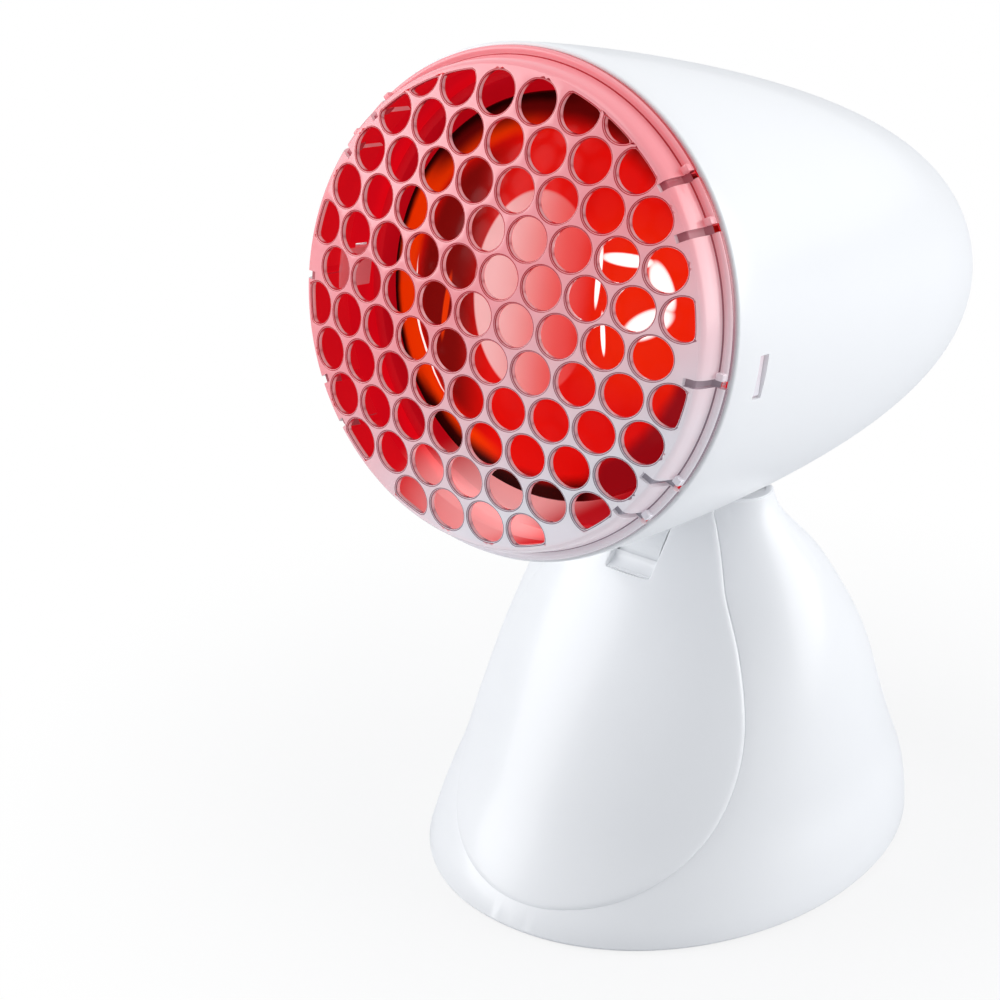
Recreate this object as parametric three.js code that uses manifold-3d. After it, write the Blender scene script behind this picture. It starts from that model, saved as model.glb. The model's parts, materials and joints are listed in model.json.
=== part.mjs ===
// Infrared heat therapy lamp: a tilting hood with a red pressed-glass bulb on a rounded table stand.
// Millimetres, +Z up. The lamp faces -Y and stands on the table at zero, with the origin under its middle.

import * as THREE from 'three';
import { mergeVertices } from 'three/addons/utils/BufferGeometryUtils.js';
import Module from 'manifold-3d';

const wasm = await Module();
wasm.setup();

// Driving dimensions of the hood and the grille, which go round the bulb
const bulbDiameter = 121;
const hoodAroundBulb = 14.9;
const hoodDiameter = bulbDiameter + 2 * hoodAroundBulb;
const hoodLength = 228;
const hoodWall = 2.6;
const hoodDrop = 8.1;
const rimBehindGrille = 21.9;
const domeRadius = 233;
const grilleThickness = 2.2;
const holePitch = 14.2;
const holeDiameter = 12.4;
const grilleRim = 7.2;
const holeFieldRadius = hoodDiameter / 2 - grilleRim;
const spigotDepth = 8.4;
const sideSlotLength = 13;
const sideSlotWidth = 5;
const sideSlotBehindRim = 15.8;
const sideSlotDrop = 5;

// Driving dimensions of the bulb's length and its holder
const bulbLength = 136;
const bulbBehindGrille = 30;
const capDiameter = 26.4;
const capLength = 25;
const holderDiameter = 39;
const holderLength = 43;
const capFrom = bulbBehindGrille + bulbLength - capLength;
const bracketBehindCap = 7;
const bracketBehindGrille = capFrom + bracketBehindCap;
const sheetThickness = 1.5;
const shieldThickness = 1;

// Driving dimensions of the stand
const standHeight = 128;
const footWidth = 151.2;
const footFrontLength = 90;
const footRearLength = 94;
const standWall = 2.6;
const panelHalfWidth = 51.6;
const panelProud = 0.8;
const notchWidth = 17;
const notchBottom = 104;
const shellLift = 1;
const plateBottom = 3;
const plateThickness = 2.5;
const footDiameter = 14;

// Driving dimensions of the tilt joint
const axleHeight = 100;
const axleDiameter = 8;
const axleBeforeBracket = 20.8;
const axleBehindGrille = bracketBehindGrille - axleBeforeBracket;
const axleBelowAxis = 95.1;
const neckWidth = 15;
const drumDiameter = 38;
const cheekThickness = 2;
const hoodClearance = 2;
const restTilt = THREE.MathUtils.degToRad(11.3);
const tiltUp = THREE.MathUtils.degToRad(6);
const tiltDown = THREE.MathUtils.degToRad(18);

// Driving dimensions of the fittings
const switchWidth = 15;
const switchHeight = 21;
const switchAt = 46;
const glandAt = 22;
const glandDiameter = 11;
const cordBore = 6.6;
const screwDiameter = 4;
const screwHead = 8;
const screwHeadHeight = 1.5;

// Gaps between pieces, and what a cutter runs past a face
const gap = 0.3;
const slip = 0.5;
const overrun = 2;

// Shape of the stand, level by level, as shares of its height, width and reach
const levelShares = [0, 0.078, 0.145, 0.234, 0.352, 0.555, 0.777, 1];
const widthShares = [1, 0.987, 0.963, 0.919, 0.882, 0.796, 0.645, 0.41];
const frontShares = [1, 0.944, 0.889, 0.811, 0.716, 0.55, 0.337, 0.127];
const rearShares = [1, 0.987, 0.963, 0.904, 0.822, 0.694, 0.465, 0.23];
const standRoundness = 2.05;

// Right half of the front panel's outline: across as a share of its half width, up as a share of the height
const panelShares = [
  [0, 0.072], [0.32, 0.084], [0.66, 0.128], [0.89, 0.208], [0.99, 0.325], [0.97, 0.488],
  [0.82, 0.668], [0.6, 0.828], [0.44, 0.935], [0.39, 0.985], [0.37, 1.1],
];

// Shape of the hood's outline from rim to end
const hoodFullness = 1.366;
const hoodBluntness = 3.125;

// Facets
const hoodSides = 40;
const hoodSteps = 10;
const grilleSides = 40;
const fieldSides = 16;
const fieldSteps = 2;
const holeSides = 8;
const ringPoints = 32;
const standLevels = 9;
const boltSides = 8;

// Finishes
const white = { color: 0xf4f5f6, roughness: 0.28, metalness: 0 };
const softWhite = { color: 0xe6e8ea, roughness: 0.4, metalness: 0 };
const clear = { color: 0xf2dfe0, roughness: 0.08, metalness: 0 };
const redGlass = { color: 0xb3080c, roughness: 0.1, metalness: 0 };
const mirrorCoat = { color: 0xcfd2d4, roughness: 0.15, metalness: 1 };
const steel = { color: 0xb4b6b8, roughness: 0.35, metalness: 1 };
const aluminium = { color: 0xd9dadb, roughness: 0.3, metalness: 1 };
const brass = { color: 0xc79a4b, roughness: 0.3, metalness: 1 };
const porcelain = { color: 0xefeae0, roughness: 0.25, metalness: 0 };
const rubber = { color: 0x2c2d2f, roughness: 0.8, metalness: 0 };
const darkPlastic = { color: 0x3a3b3d, roughness: 0.5, metalness: 0 };
const tungsten = { color: 0x6d6a66, roughness: 0.4, metalness: 1 };

// Geometry helpers

// Turns a closed geometry into a solid that can be joined and cut
function toSolid(geometry) {
  const bare = geometry.clone();
  bare.deleteAttribute('normal');
  bare.deleteAttribute('uv');
  const merged = mergeVertices(bare);
  const corners = [];
  for (let i = 0; i < merged.index.count; i += 3) {
    const [a, b, c] = [0, 1, 2].map((k) => merged.index.getX(i + k));
    if (a !== b && b !== c && c !== a) corners.push(a, b, c);
  }
  return new wasm.Manifold(new wasm.Mesh({
    numProp: 3,
    vertProperties: new Float32Array(merged.attributes.position.array),
    triVerts: new Uint32Array(corners),
  }));
}

function toGeometry(solid) {
  const mesh = solid.getMesh();
  const geometry = new THREE.BufferGeometry();
  geometry.setAttribute('position', new THREE.BufferAttribute(mesh.vertProperties, 3));
  geometry.setIndex(new THREE.BufferAttribute(mesh.triVerts, 1));
  geometry.computeVertexNormals();
  return geometry;
}

function joined(...geometries) {
  return toGeometry(geometries.map(toSolid).reduce((all, next) => all.add(next)));
}

function cut(geometry, ...tools) {
  return toGeometry(tools.map(toSolid).reduce((left, tool) => left.subtract(tool), toSolid(geometry)));
}

function common(geometry, tool) {
  return toGeometry(toSolid(geometry).intersect(toSolid(tool)));
}

// Revolves [radius, depth] pairs about the Y axis; depth grows from the front to the back
function turned(profile, sides) {
  const points = profile.map(([radius, depth]) => new THREE.Vector2(radius, depth));
  const geometry = new THREE.LatheGeometry([...points, points[0]], sides);
  return facingOut(geometry);
}

// Turns the faces of a closed geometry round if they point inwards
function facingOut(geometry) {
  const flat = geometry.index ? geometry.toNonIndexed() : geometry;
  const place = flat.attributes.position;
  const [a, b, c] = [new THREE.Vector3(), new THREE.Vector3(), new THREE.Vector3()];
  let volume = 0;
  for (let i = 0; i < place.count; i += 3) {
    a.fromBufferAttribute(place, i);
    b.fromBufferAttribute(place, i + 1);
    c.fromBufferAttribute(place, i + 2);
    volume += a.dot(b.cross(c));
  }
  if (volume > 0) return geometry;
  const order = geometry.index;
  for (let i = 0; i < order.count; i += 3) {
    const first = order.getX(i);
    order.setX(i, order.getX(i + 1));
    order.setX(i + 1, first);
  }
  return geometry;
}

function bar(radius, length, sides = boltSides) {
  return new THREE.CylinderGeometry(radius, radius, length, sides);
}

function barAcross(radius, length, sides = boltSides) {
  return bar(radius, length, sides).rotateZ(Math.PI / 2);
}

function barUp(radius, length, sides = boltSides) {
  return bar(radius, length, sides).rotateX(Math.PI / 2);
}

function box(across, deep, high) {
  return new THREE.BoxGeometry(across, deep, high);
}

// Extrudes an outline of [x, z] pairs from one Y to another
function extrudedBack(outline, from, to) {
  const shape = new THREE.Shape(outline.map(([x, z]) => new THREE.Vector2(x, z)));
  const geometry = new THREE.ExtrudeGeometry(shape, { depth: to - from, bevelEnabled: false });
  return geometry.rotateX(Math.PI / 2).translate(0, to, 0);
}

// Extrudes a shape drawn in (y, z) to both sides of the middle plane
function extrudedAcross(shape, width) {
  const geometry = new THREE.ExtrudeGeometry(shape, { depth: width, bevelEnabled: false, curveSegments: 10 });
  const turn = new THREE.Matrix4().makeBasis(
    new THREE.Vector3(0, 1, 0), new THREE.Vector3(0, 0, 1), new THREE.Vector3(1, 0, 0),
  );
  return geometry.applyMatrix4(turn).translate(-width / 2, 0, 0);
}

// Closes a stack of rings, each with the same number of points, into one body
function lofted(rings) {
  const count = rings[0].length;
  const places = rings.flat().flatMap((point) => [point.x, point.y, point.z]);
  const ends = [rings[0], rings[rings.length - 1]];
  for (const ring of ends) {
    const middle = new THREE.Vector3();
    ring.forEach((point) => middle.add(point));
    middle.divideScalar(count);
    places.push(middle.x, middle.y, middle.z);
  }
  const order = [];
  for (let level = 0; level < rings.length - 1; level += 1) {
    for (let i = 0; i < count; i += 1) {
      const next = (i + 1) % count;
      const [a, b] = [level * count + i, level * count + next];
      order.push(a, b, b + count, a, b + count, a + count);
    }
  }
  const [low, high] = [rings.length * count, rings.length * count + 1];
  for (let i = 0; i < count; i += 1) {
    const next = (i + 1) % count;
    const top = (rings.length - 1) * count;
    order.push(low, next, i, high, top + i, top + next);
  }
  const geometry = new THREE.BufferGeometry();
  geometry.setAttribute('position', new THREE.BufferAttribute(new Float32Array(places), 3));
  geometry.setIndex(order);
  geometry.computeVertexNormals();
  return geometry;
}

function piece(name, geometry, finish) {
  const mesh = new THREE.Mesh(geometry, new THREE.MeshStandardMaterial(finish));
  mesh.name = name;
  return mesh;
}

// One node for each of a set of like pieces
function pieces(name, geometries, finish) {
  return geometries.map((geometry, i) => piece(`${name}_${i + 1}`, geometry, finish));
}

// A screw along +Y: its head's seat lies at the origin and its shank goes forward
function screw(length) {
  const head = bar(screwHead / 2, screwHeadHeight).translate(0, screwHeadHeight / 2, 0);
  const shank = bar(screwDiameter / 2, length).translate(0, -length / 2 + overrun / 4, 0);
  const slot = box(screwHead, screwHeadHeight, screwHeadHeight / 2).translate(0, screwHeadHeight, 0);
  return cut(joined(head, shank), slot);
}

function screwHole(length) {
  return bar(screwDiameter / 2 + gap, length);
}

// Shape of the stand

// Places under the stand, given as shares of its width and length
function placesUnderStand(shares) {
  return shares.map(([across, along]) => [across * footWidth, along * (footFrontLength + footRearLength)]);
}

// Every wall of the stand runs straight between the same few levels, so that walls at different insets nest
function shareAt(shares, share) {
  const curve = new THREE.CubicInterpolant(levelShares, shares, 1, new Float64Array(1));
  const level = THREE.MathUtils.clamp(share, 0, 1) * standLevels;
  const below = Math.min(Math.floor(level), standLevels - 1);
  const [low, high] = [below, below + 1].map((k) => curve.evaluate(k / standLevels)[0]);
  return THREE.MathUtils.lerp(low, high, level - below);
}

function standSection(height, inset) {
  const share = height / standHeight;
  return {
    halfWidth: (footWidth / 2) * shareAt(widthShares, share) - inset,
    front: footFrontLength * shareAt(frontShares, share) - inset,
    rear: footRearLength * shareAt(rearShares, share) - inset,
  };
}

function rounded(value) {
  return Math.sign(value) * Math.abs(value) ** (2 / standRoundness);
}

function standRing(height, inset) {
  const { halfWidth, front, rear } = standSection(height, inset);
  return Array.from({ length: ringPoints }, (_, i) => {
    const angle = (2 * Math.PI * i) / ringPoints;
    const x = halfWidth * rounded(Math.sin(angle));
    const y = (rear - front) / 2 - ((rear + front) / 2) * rounded(Math.cos(angle));
    return new THREE.Vector3(x, y, height);
  });
}

// The stand's body at one inset, between two heights
function standBody(inset, from, to) {
  const levels = Array.from({ length: standLevels + 1 }, (_, i) => (standHeight * i) / standLevels);
  const heights = [from, ...levels.filter((height) => height > from && height < to), to];
  return lofted(heights.map((height) => standRing(height, inset)));
}

const insideFrom = -overrun;
const insideTo = standHeight + overrun;

function standShell(outset, depth) {
  return cut(standBody(outset, shellLift, standHeight), standBody(depth, insideFrom, insideTo));
}

// The front panel's outline grown by a distance
function panelOutline(grow) {
  const half = panelShares.map(([x, z]) => new THREE.Vector2(x * panelHalfWidth, z * standHeight));
  const left = half.slice(1).reverse().map((point) => new THREE.Vector2(-point.x, point.y));
  const points = new THREE.SplineCurve([...left, ...half]).getPoints(2 * (left.length + half.length));
  return points.map((point, i) => {
    const before = points[Math.max(i - 1, 0)];
    const after = points[Math.min(i + 1, points.length - 1)];
    const along = after.clone().sub(before).normalize();
    return [point.x + along.y * grow, point.y - along.x * grow];
  });
}

function panelCutter(grow) {
  return extrudedBack(panelOutline(grow), -footFrontLength - overrun, 0);
}

// Where something sits on the back of the stand: on the surface, its +Y square to the wall
function rearFrame(height, across) {
  const step = standHeight / 50;
  const low = standSection(height - step, panelProud).rear;
  const high = standSection(height + step, panelProud).rear;
  const { halfWidth, front, rear } = standSection(height, panelProud);
  const side = (1 - (Math.abs(across) / halfWidth) ** standRoundness) ** (1 / standRoundness);
  return {
    position: new THREE.Vector3(across, (rear - front) / 2 + ((rear + front) / 2) * side, height),
    lean: Math.atan2(low - high, 2 * step),
  };
}

function atRear(object, frame) {
  object.position.copy(frame.position);
  object.rotation.x = frame.lean;
  object.updateMatrix();
  return object;
}

// Shape of the hood

function hoodRadiusAt(depth, inset = 0) {
  const share = THREE.MathUtils.clamp(depth / (hoodLength - inset), 0, 1);
  return (hoodDiameter / 2 - inset) * (1 - share ** hoodFullness) ** (1 / hoodBluntness);
}

// Outline of the hood from rim to end, moved in by an inset
function hoodOutline(inset) {
  return Array.from({ length: hoodSteps + 1 }, (_, i) => {
    const left = 1 - i / hoodSteps;
    const depth = (hoodLength - inset) * (1 - left ** 3);
    return [i === hoodSteps ? 0 : hoodRadiusAt(depth, inset), depth];
  });
}

// The hood's axis sinks a little towards its end
function sunk(geometry) {
  const place = geometry.attributes.position;
  for (let i = 0; i < place.count; i += 1) {
    place.setZ(i, place.getZ(i) - (hoodDrop * place.getY(i)) / hoodLength);
  }
  return geometry;
}

function hoodBody(inset) {
  return sunk(turned([[0, 0], ...hoodOutline(inset)], hoodSides));
}

// Head: hood, grille, bulb, holder

const bracketInHood = bracketBehindGrille - rimBehindGrille;
const ledgeDepth = bracketInHood + sheetThickness + gap;
const ledgeWidth = 8;
const ledgeHeight = 3;
const holderEar = 5.5;
const holderScrewRadius = holderDiameter / 2 + holderEar;
const holderFlange = holderScrewRadius + screwHead / 2;
const bracketScrewRadius = hoodRadiusAt(ledgeDepth, hoodWall) - ledgeWidth / 2 - gap;
const bracketScrews = 3;
const neckScrewsAt = [-neckWidth * 0.6, neckWidth * 0.4];
const padTop = innerWallAboveAxle(neckWidth) + 2 * hoodWall / 3;

function bracketScrewPlaces() {
  return Array.from({ length: bracketScrews }, (_, i) => {
    const angle = Math.PI / 2 + (2 * Math.PI * i) / bracketScrews;
    return [bracketScrewRadius * Math.cos(angle), bracketScrewRadius * Math.sin(angle) - sag(ledgeDepth)];
  });
}

// How far the hood's axis has sunk at a depth behind the rim
function sag(depth) {
  return (hoodDrop * depth) / hoodLength;
}

// A screw's way down through the hood's wall into the neck
function neckScrewCut(offset) {
  const depth = axleBehindGrille - rimBehindGrille + offset;
  return screwHole(hoodDiameter / 2).rotateX(Math.PI / 2).translate(0, depth, -hoodDiameter / 2);
}

// A flat pad inside the hood for the heads of the neck's screws
function neckPad() {
  const depth = axleBehindGrille - rimBehindGrille;
  const pad = box(neckWidth, 2 * neckWidth, hoodDiameter / 4)
    .translate(0, depth, padTop - axleBelowAxis - hoodDiameter / 8);
  return common(pad, hoodBody(hoodWall / 2));
}

function hoodShell() {
  const inner = hoodOutline(hoodWall).reverse();
  const ledge = [
    [hoodRadiusAt(ledgeDepth, hoodWall / 2), ledgeDepth],
    [hoodRadiusAt(ledgeDepth, hoodWall) - ledgeWidth, ledgeDepth],
    [hoodRadiusAt(ledgeDepth, hoodWall) - ledgeWidth, ledgeDepth + ledgeHeight],
    [hoodRadiusAt(ledgeDepth + ledgeHeight, hoodWall / 2), ledgeDepth + ledgeHeight],
  ];
  const shell = sunk(turned([...hoodOutline(0), ...inner], hoodSides));
  const shelf = sunk(turned(ledge, hoodSides));
  const slots = [-1, 1].map((side) => box(hoodDiameter / 4, sideSlotWidth, sideSlotLength)
    .translate((side * hoodDiameter) / 2, sideSlotBehindRim, -sideSlotDrop));
  const holes = bracketScrewPlaces().map(([x, z]) => screwHole(4 * ledgeHeight).translate(x, ledgeDepth, z));
  const necks = neckScrewsAt.map(neckScrewCut);
  return cut(joined(shell, shelf, neckPad()), ...slots, ...holes, ...necks);
}

function domeDepth(radius) {
  return domeRadius - Math.sqrt(domeRadius ** 2 - radius ** 2);
}

const ringTop = domeDepth(holeFieldRadius);
const spigotRadius = hoodDiameter / 2 - hoodWall - 2 * slip;
const spigotWall = 1.4;
const flangeOverlap = 2.6;
const flangeRadius = spigotRadius + flangeOverlap;
const flangeThickness = 1.8;
const flangeBack = rimBehindGrille - gap;
const slitTurns = [43.5, 30, -5, -34, -47.5].map(THREE.MathUtils.degToRad);
const slitWidth = 1.6;
const latchLength = 18.6;
const latchWidth = sideSlotLength - 2 * slip;

// The holes' places, row by row
function holePlaces() {
  const places = [];
  const rowPitch = (holePitch * Math.sqrt(3)) / 2;
  const rows = Math.ceil(holeFieldRadius / rowPitch);
  for (let row = -rows; row <= rows; row += 1) {
    for (let step = -rows; step <= rows; step += 1) {
      const x = (step + (Math.abs(row) % 2) / 2) * holePitch;
      const z = row * rowPitch;
      if (Math.hypot(x, z) < holeFieldRadius + holeDiameter / 8) places.push([x, z]);
    }
  }
  return places;
}

// The domed plate between the ring's walls
function grilleField() {
  const edge = holeFieldRadius + spigotWall / 2;
  const front = Array.from({ length: fieldSteps + 1 }, (_, i) => {
    const radius = (edge * i) / fieldSteps;
    return [radius, domeDepth(radius)];
  });
  const back = front.slice().reverse().map(([radius, depth]) => [radius, depth + grilleThickness]);
  return turned([...front, ...back], fieldSides);
}

// The ring around the field, with the spigot that goes into the hood and the flange in front of its rim
function grilleRing() {
  const inner = holeFieldRadius * Math.cos(Math.PI / fieldSides) - spigotWall;
  const shoulder = holeFieldRadius + spigotWall;
  const innerTop = domeDepth(inner);
  return turned([
    [inner, innerTop], [holeFieldRadius, ringTop], [shoulder, ringTop + spigotWall / 4],
    [shoulder + spigotWall, ringTop + spigotWall], [spigotRadius, flangeBack - flangeThickness],
    [flangeRadius, flangeBack - flangeThickness], [flangeRadius, flangeBack], [spigotRadius, flangeBack],
    [spigotRadius, flangeBack + spigotDepth], [spigotRadius - spigotWall, flangeBack + spigotDepth],
    [spigotRadius - spigotWall, flangeBack - flangeThickness],
    [shoulder - spigotWall / 2, ringTop + grilleThickness], [inner, innerTop + grilleThickness],
  ], grilleSides);
}

function protectiveGrille() {
  const deep = 4 * grilleThickness + 2 * ringTop;
  const field = bar(holeFieldRadius, deep, grilleSides);
  const holes = holePlaces().map(([x, z]) => bar(holeDiameter / 2, deep, holeSides).translate(x, 0, z));
  const holeCutter = holes.map(toSolid).reduce((all, next) => all.add(next)).intersect(toSolid(field));
  const slits = [];
  const slitFrom = holeFieldRadius + spigotWall;
  for (const side of [-1, 1]) {
    for (const turn of slitTurns) {
      slits.push(box(2 * (flangeRadius - slitFrom), 2 * rimBehindGrille, slitWidth)
        .translate(flangeRadius, rimBehindGrille + ringTop, 0)
        .rotateY(side > 0 ? -turn : Math.PI + turn));
    }
  }
  const latches = [-1, 1].flatMap((side) => latchParts(side));
  const plate = toSolid(joined(grilleField(), grilleRing())).subtract(holeCutter);
  return joined(cut(toGeometry(plate), ...slits), ...latches);
}

// A latch arm behind the ring and the hook that sits in the hood's side slot
function latchParts(side) {
  const armFrom = flangeBack + spigotDepth / 2;
  const armTo = rimBehindGrille + latchLength;
  const armRadius = spigotRadius - spigotWall - slip;
  const arm = box(spigotWall - gap, armTo - armFrom, latchWidth)
    .translate(side * armRadius, (armFrom + armTo) / 2, -sideSlotDrop);
  const hookReach = hoodWall + slip;
  const hook = box(hookReach + spigotWall / 2, sideSlotWidth - 2 * gap, latchWidth)
    .translate(side * (armRadius + hookReach / 2), rimBehindGrille + sideSlotBehindRim, -sideSlotDrop);
  return [arm, hook];
}

// Bulb

const lensSag = 11;
const lensThickness = 2.5;
const glassWall = 1.6;
const bulbRim = bulbBehindGrille + lensSag;
const bulbEnd = bulbBehindGrille + bulbLength;
const neckStep = 1;
const neckRadius = capDiameter / 2 + neckStep;
const bowlDepth = 68;
const rimBand = 5;

function bulbLens() {
  const steps = 6;
  const radius = bulbDiameter / 2;
  const curve = Array.from({ length: steps + 1 }, (_, i) => {
    const share = i / steps;
    return [radius * share, bulbBehindGrille + lensSag * share ** 2.4];
  });
  const inner = curve.slice().reverse().slice(1)
    .map(([across, depth]) => [across, depth + lensThickness]);
  return turned([...curve, [radius, bulbRim + lensThickness], ...inner], hoodSides);
}

function bowlRadius(share) {
  return neckRadius + (bulbDiameter / 2 - glassWall - neckRadius) * Math.sqrt(1 - share);
}

function bulbReflector() {
  const from = bulbRim + lensThickness + gap;
  const steps = 7;
  const outer = Array.from({ length: steps + 1 }, (_, i) => {
    const share = i / steps;
    return [bowlRadius(share), from + rimBand + bowlDepth * share];
  });
  const inner = outer.slice().reverse().map(([radius, depth]) => [radius - glassWall, depth]);
  const neckEnd = capFrom - gap;
  const profile = [
    [bulbDiameter / 2, from], [bulbDiameter / 2, from + rimBand], ...outer,
    [neckRadius, neckEnd], [0, neckEnd],
    [0, neckEnd - glassWall], [neckRadius - glassWall, neckEnd - glassWall],
    ...inner, [bowlRadius(0) - glassWall, from],
  ];
  return turned(profile, 24);
}

function bulbCap() {
  const ridges = 5;
  const radius = capDiameter / 2;
  const shellLength = capLength * 0.72;
  const threadDepth = radius * 0.06;
  const thread = Array.from({ length: 2 * ridges + 1 }, (_, i) => [
    radius - (i % 2 ? 0 : threadDepth), capFrom + (shellLength * (i + 1)) / (2 * ridges + 2),
  ]);
  const tip = [[radius * 0.5, capFrom + shellLength], [0, capFrom + shellLength]];
  return turned([[0, capFrom], [radius - threadDepth, capFrom], ...thread, ...tip], 24);
}

function bulbContact() {
  const from = capFrom + capLength * 0.72 + gap;
  const radius = capDiameter / 2;
  return turned([[0, from], [radius * 0.48, from], [radius * 0.35, bulbEnd - gap], [0, bulbEnd]], 16);
}

// Filament: two support wires out of the neck, bent towards each other, with the glowing wire between
function bulbFilament() {
  const wire = glassWall / 2;
  const spread = neckRadius * 0.6;
  const from = capFrom - glassWall - 2 * gap;
  const to = bulbRim + bowlDepth * 0.55;
  const post = (side) => bar(wire, from - to, 6).translate(side * spread, (from + to) / 2, 0);
  const loop = new THREE.CatmullRomCurve3([
    new THREE.Vector3(-spread, to + wire, 0), new THREE.Vector3(-spread / 2, to - 2 * wire, spread / 2),
    new THREE.Vector3(spread / 2, to - 2 * wire, spread / 2), new THREE.Vector3(spread, to + wire, 0),
  ]);
  const section = new THREE.Shape(new THREE.Path().absarc(0, 0, wire, 0, 2 * Math.PI).getPoints(3));
  const glow = new THREE.ExtrudeGeometry(section, { steps: 12, bevelEnabled: false, extrudePath: loop });
  return joined(post(-1), post(1), glow);
}

function lampholder() {
  const radius = holderDiameter / 2;
  const bore = capDiameter / 2 + gap;
  const mouth = capFrom + 2 * gap;
  const floor = bulbEnd + gap;
  const back = mouth + holderLength;
  const seat = bracketBehindGrille + sheetThickness + gap;
  const flange = 4;
  const body = turned([
    [bore, mouth], [radius, mouth], [radius, seat], [holderFlange, seat], [holderFlange, seat + flange],
    [radius, seat + flange], [radius, back], [0, back], [0, floor], [bore, floor],
  ], 24);
  const holes = [-1, 1].map((side) => screwHole(4 * flange).translate(side * holderScrewRadius, seat, 0));
  return cut(body, ...holes);
}

function lampBracket() {
  const ventRadius = 5;
  const ventAt = holderFlange + 2 * ventRadius;
  const ventHoles = 6;
  const edge = hoodRadiusAt(bracketInHood, hoodWall) - 3 * gap;
  const plate = bar(edge, sheetThickness, hoodSides).translate(0, sheetThickness / 2, 0);
  const middle = sag(bracketInHood);
  const opening = bar(holderDiameter / 2 + gap, 4 * sheetThickness, 32).translate(0, 0, middle);
  const vents = Array.from({ length: ventHoles }, (_, i) => {
    const angle = (2 * Math.PI * i) / ventHoles;
    return bar(ventRadius, 4 * sheetThickness)
      .translate(ventAt * Math.cos(angle), 0, ventAt * Math.sin(angle) + middle);
  });
  const holders = [-1, 1]
    .map((side) => screwHole(4 * sheetThickness).translate(side * holderScrewRadius, 0, middle));
  const rims = bracketScrewPlaces()
    .map(([x, z]) => screwHole(4 * sheetThickness).translate(x, 0, z + sag(ledgeDepth)));
  return cut(plate, opening, ...vents, ...holders, ...rims);
}

const shieldAroundBulb = 6;

function heatShield() {
  const from = bulbRim + lensThickness;
  const to = bracketBehindGrille - gap - shieldThickness;
  const front = bulbDiameter / 2 + shieldAroundBulb;
  const back = bracketScrewRadius - screwHead / 2 - 2 * slip - shieldThickness;
  const flange = hoodRadiusAt(bracketInHood, hoodWall) - 4 * gap;
  const lip = 2 * shieldThickness;
  const body = sunk(turned([
    [front, from], [front + lip, from - lip], [front + lip + shieldThickness, from - lip],
    [front + shieldThickness, from + shieldThickness], [back + shieldThickness, to], [flange, to],
    [flange, to + shieldThickness], [back, to + shieldThickness], [back, to],
  ], hoodSides).translate(0, -rimBehindGrille, 0)).translate(0, rimBehindGrille, 0);
  const holes = bracketScrewPlaces().map(([x, z]) => screwHole(8 * shieldThickness).translate(x, to, z));
  return cut(body, ...holes);
}

// Neck under the hood, with the drum that turns on the axle and its notches
const notchRadius = 1;
const notchCount = 5;
const neckScrewLength = drumDiameter / 4;
const neckCoverRadius = 21.5;
const neckCoverFrom = THREE.MathUtils.degToRad(50);
const neckCoverTo = THREE.MathUtils.degToRad(12);
const saddleBack = 12;

const neckTop = axleBelowAxis - hoodDiameter / 2 + 2 * hoodWall + drumDiameter / 2;

function neckBlock() {
  const drum = drumDiameter / 2;
  const shape = new THREE.Shape();
  shape.absarc(0, 0, neckCoverRadius, Math.PI - neckCoverFrom, Math.PI + neckCoverTo, false);
  shape.absarc(0, 0, drum, Math.PI + neckCoverTo, 2 * Math.PI + 0.3, false);
  shape.lineTo(saddleBack, neckTop);
  shape.lineTo(-neckCoverRadius * Math.cos(neckCoverFrom), neckTop);
  const hood = sunk(turned([[0, 0], ...hoodOutline(-gap)], hoodSides))
    .translate(0, rimBehindGrille - axleBehindGrille, axleBelowAxis);
  const bore = barAcross(axleDiameter / 2 + gap, neckWidth + 2 * overrun, 24);
  const notches = Array.from({ length: notchCount }, (_, i) => {
    const angle = -Math.PI / 2 + restTilt - tiltUp + (i * (tiltUp + tiltDown)) / (notchCount - 1);
    return barAcross(notchRadius, neckWidth / 2).translate(0, drum * Math.cos(angle), drum * Math.sin(angle));
  });
  const screws = neckScrewsAt.map((offset) => barUp(screwDiameter / 2 + gap, 2 * (neckScrewLength + overrun))
    .translate(0, offset, padTop));
  return cut(extrudedAcross(shape, neckWidth), hood, bore, ...notches, ...screws);
}

// Height of the hood's inner wall above the axle, at an offset along the hood
function innerWallAboveAxle(offset) {
  const depth = axleBehindGrille - rimBehindGrille + offset;
  return axleBelowAxis - hoodRadiusAt(depth, hoodWall) - sag(depth);
}

function neckScrews() {
  return neckScrewsAt.map((offset) => screw(neckScrewLength)
    .rotateX(Math.PI / 2).translate(0, offset, padTop + gap));
}

// Screws along the hood, all with their heads in front
function forwardScrews(places, seat, length) {
  return places.map(([x, z]) => screw(length).rotateX(Math.PI).translate(x, seat, z));
}

// Stand shells

// Everything that the hood sweeps as it tilts, with its clearance
function hoodSweep() {
  const steps = 2;
  const hood = hoodBody(-hoodClearance).translate(0, rimBehindGrille - axleBehindGrille, axleBelowAxis);
  return Array.from({ length: steps + 1 }, (_, i) => hood.clone()
    .rotateX(-restTilt - tiltUp + (i * (tiltUp + tiltDown)) / steps).translate(0, 0, axleHeight));
}

const panelFlange = 3.5;
const flangeDepth = standWall + panelFlange / 2;
const flangeTop = 0.9 * standHeight;

const notchRib = 1.5;
const notchRibsBack = 16;

// Ribs behind the notch's sides and floor, so that no gap shows beside the neck
function notchRibs() {
  const deep = footFrontLength - notchRibsBack;
  const ribs = box(notchWidth + 2 * notchRib, deep, standHeight)
    .translate(0, -notchRibsBack - deep / 2, notchBottom - notchRib + standHeight / 2);
  const neckWay = barAcross(neckCoverRadius + 2 * slip, notchWidth, 32).translate(0, 0, axleHeight);
  return cut(common(ribs, standBody(standWall / 2, shellLift, standHeight)), neckWay);
}

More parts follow.
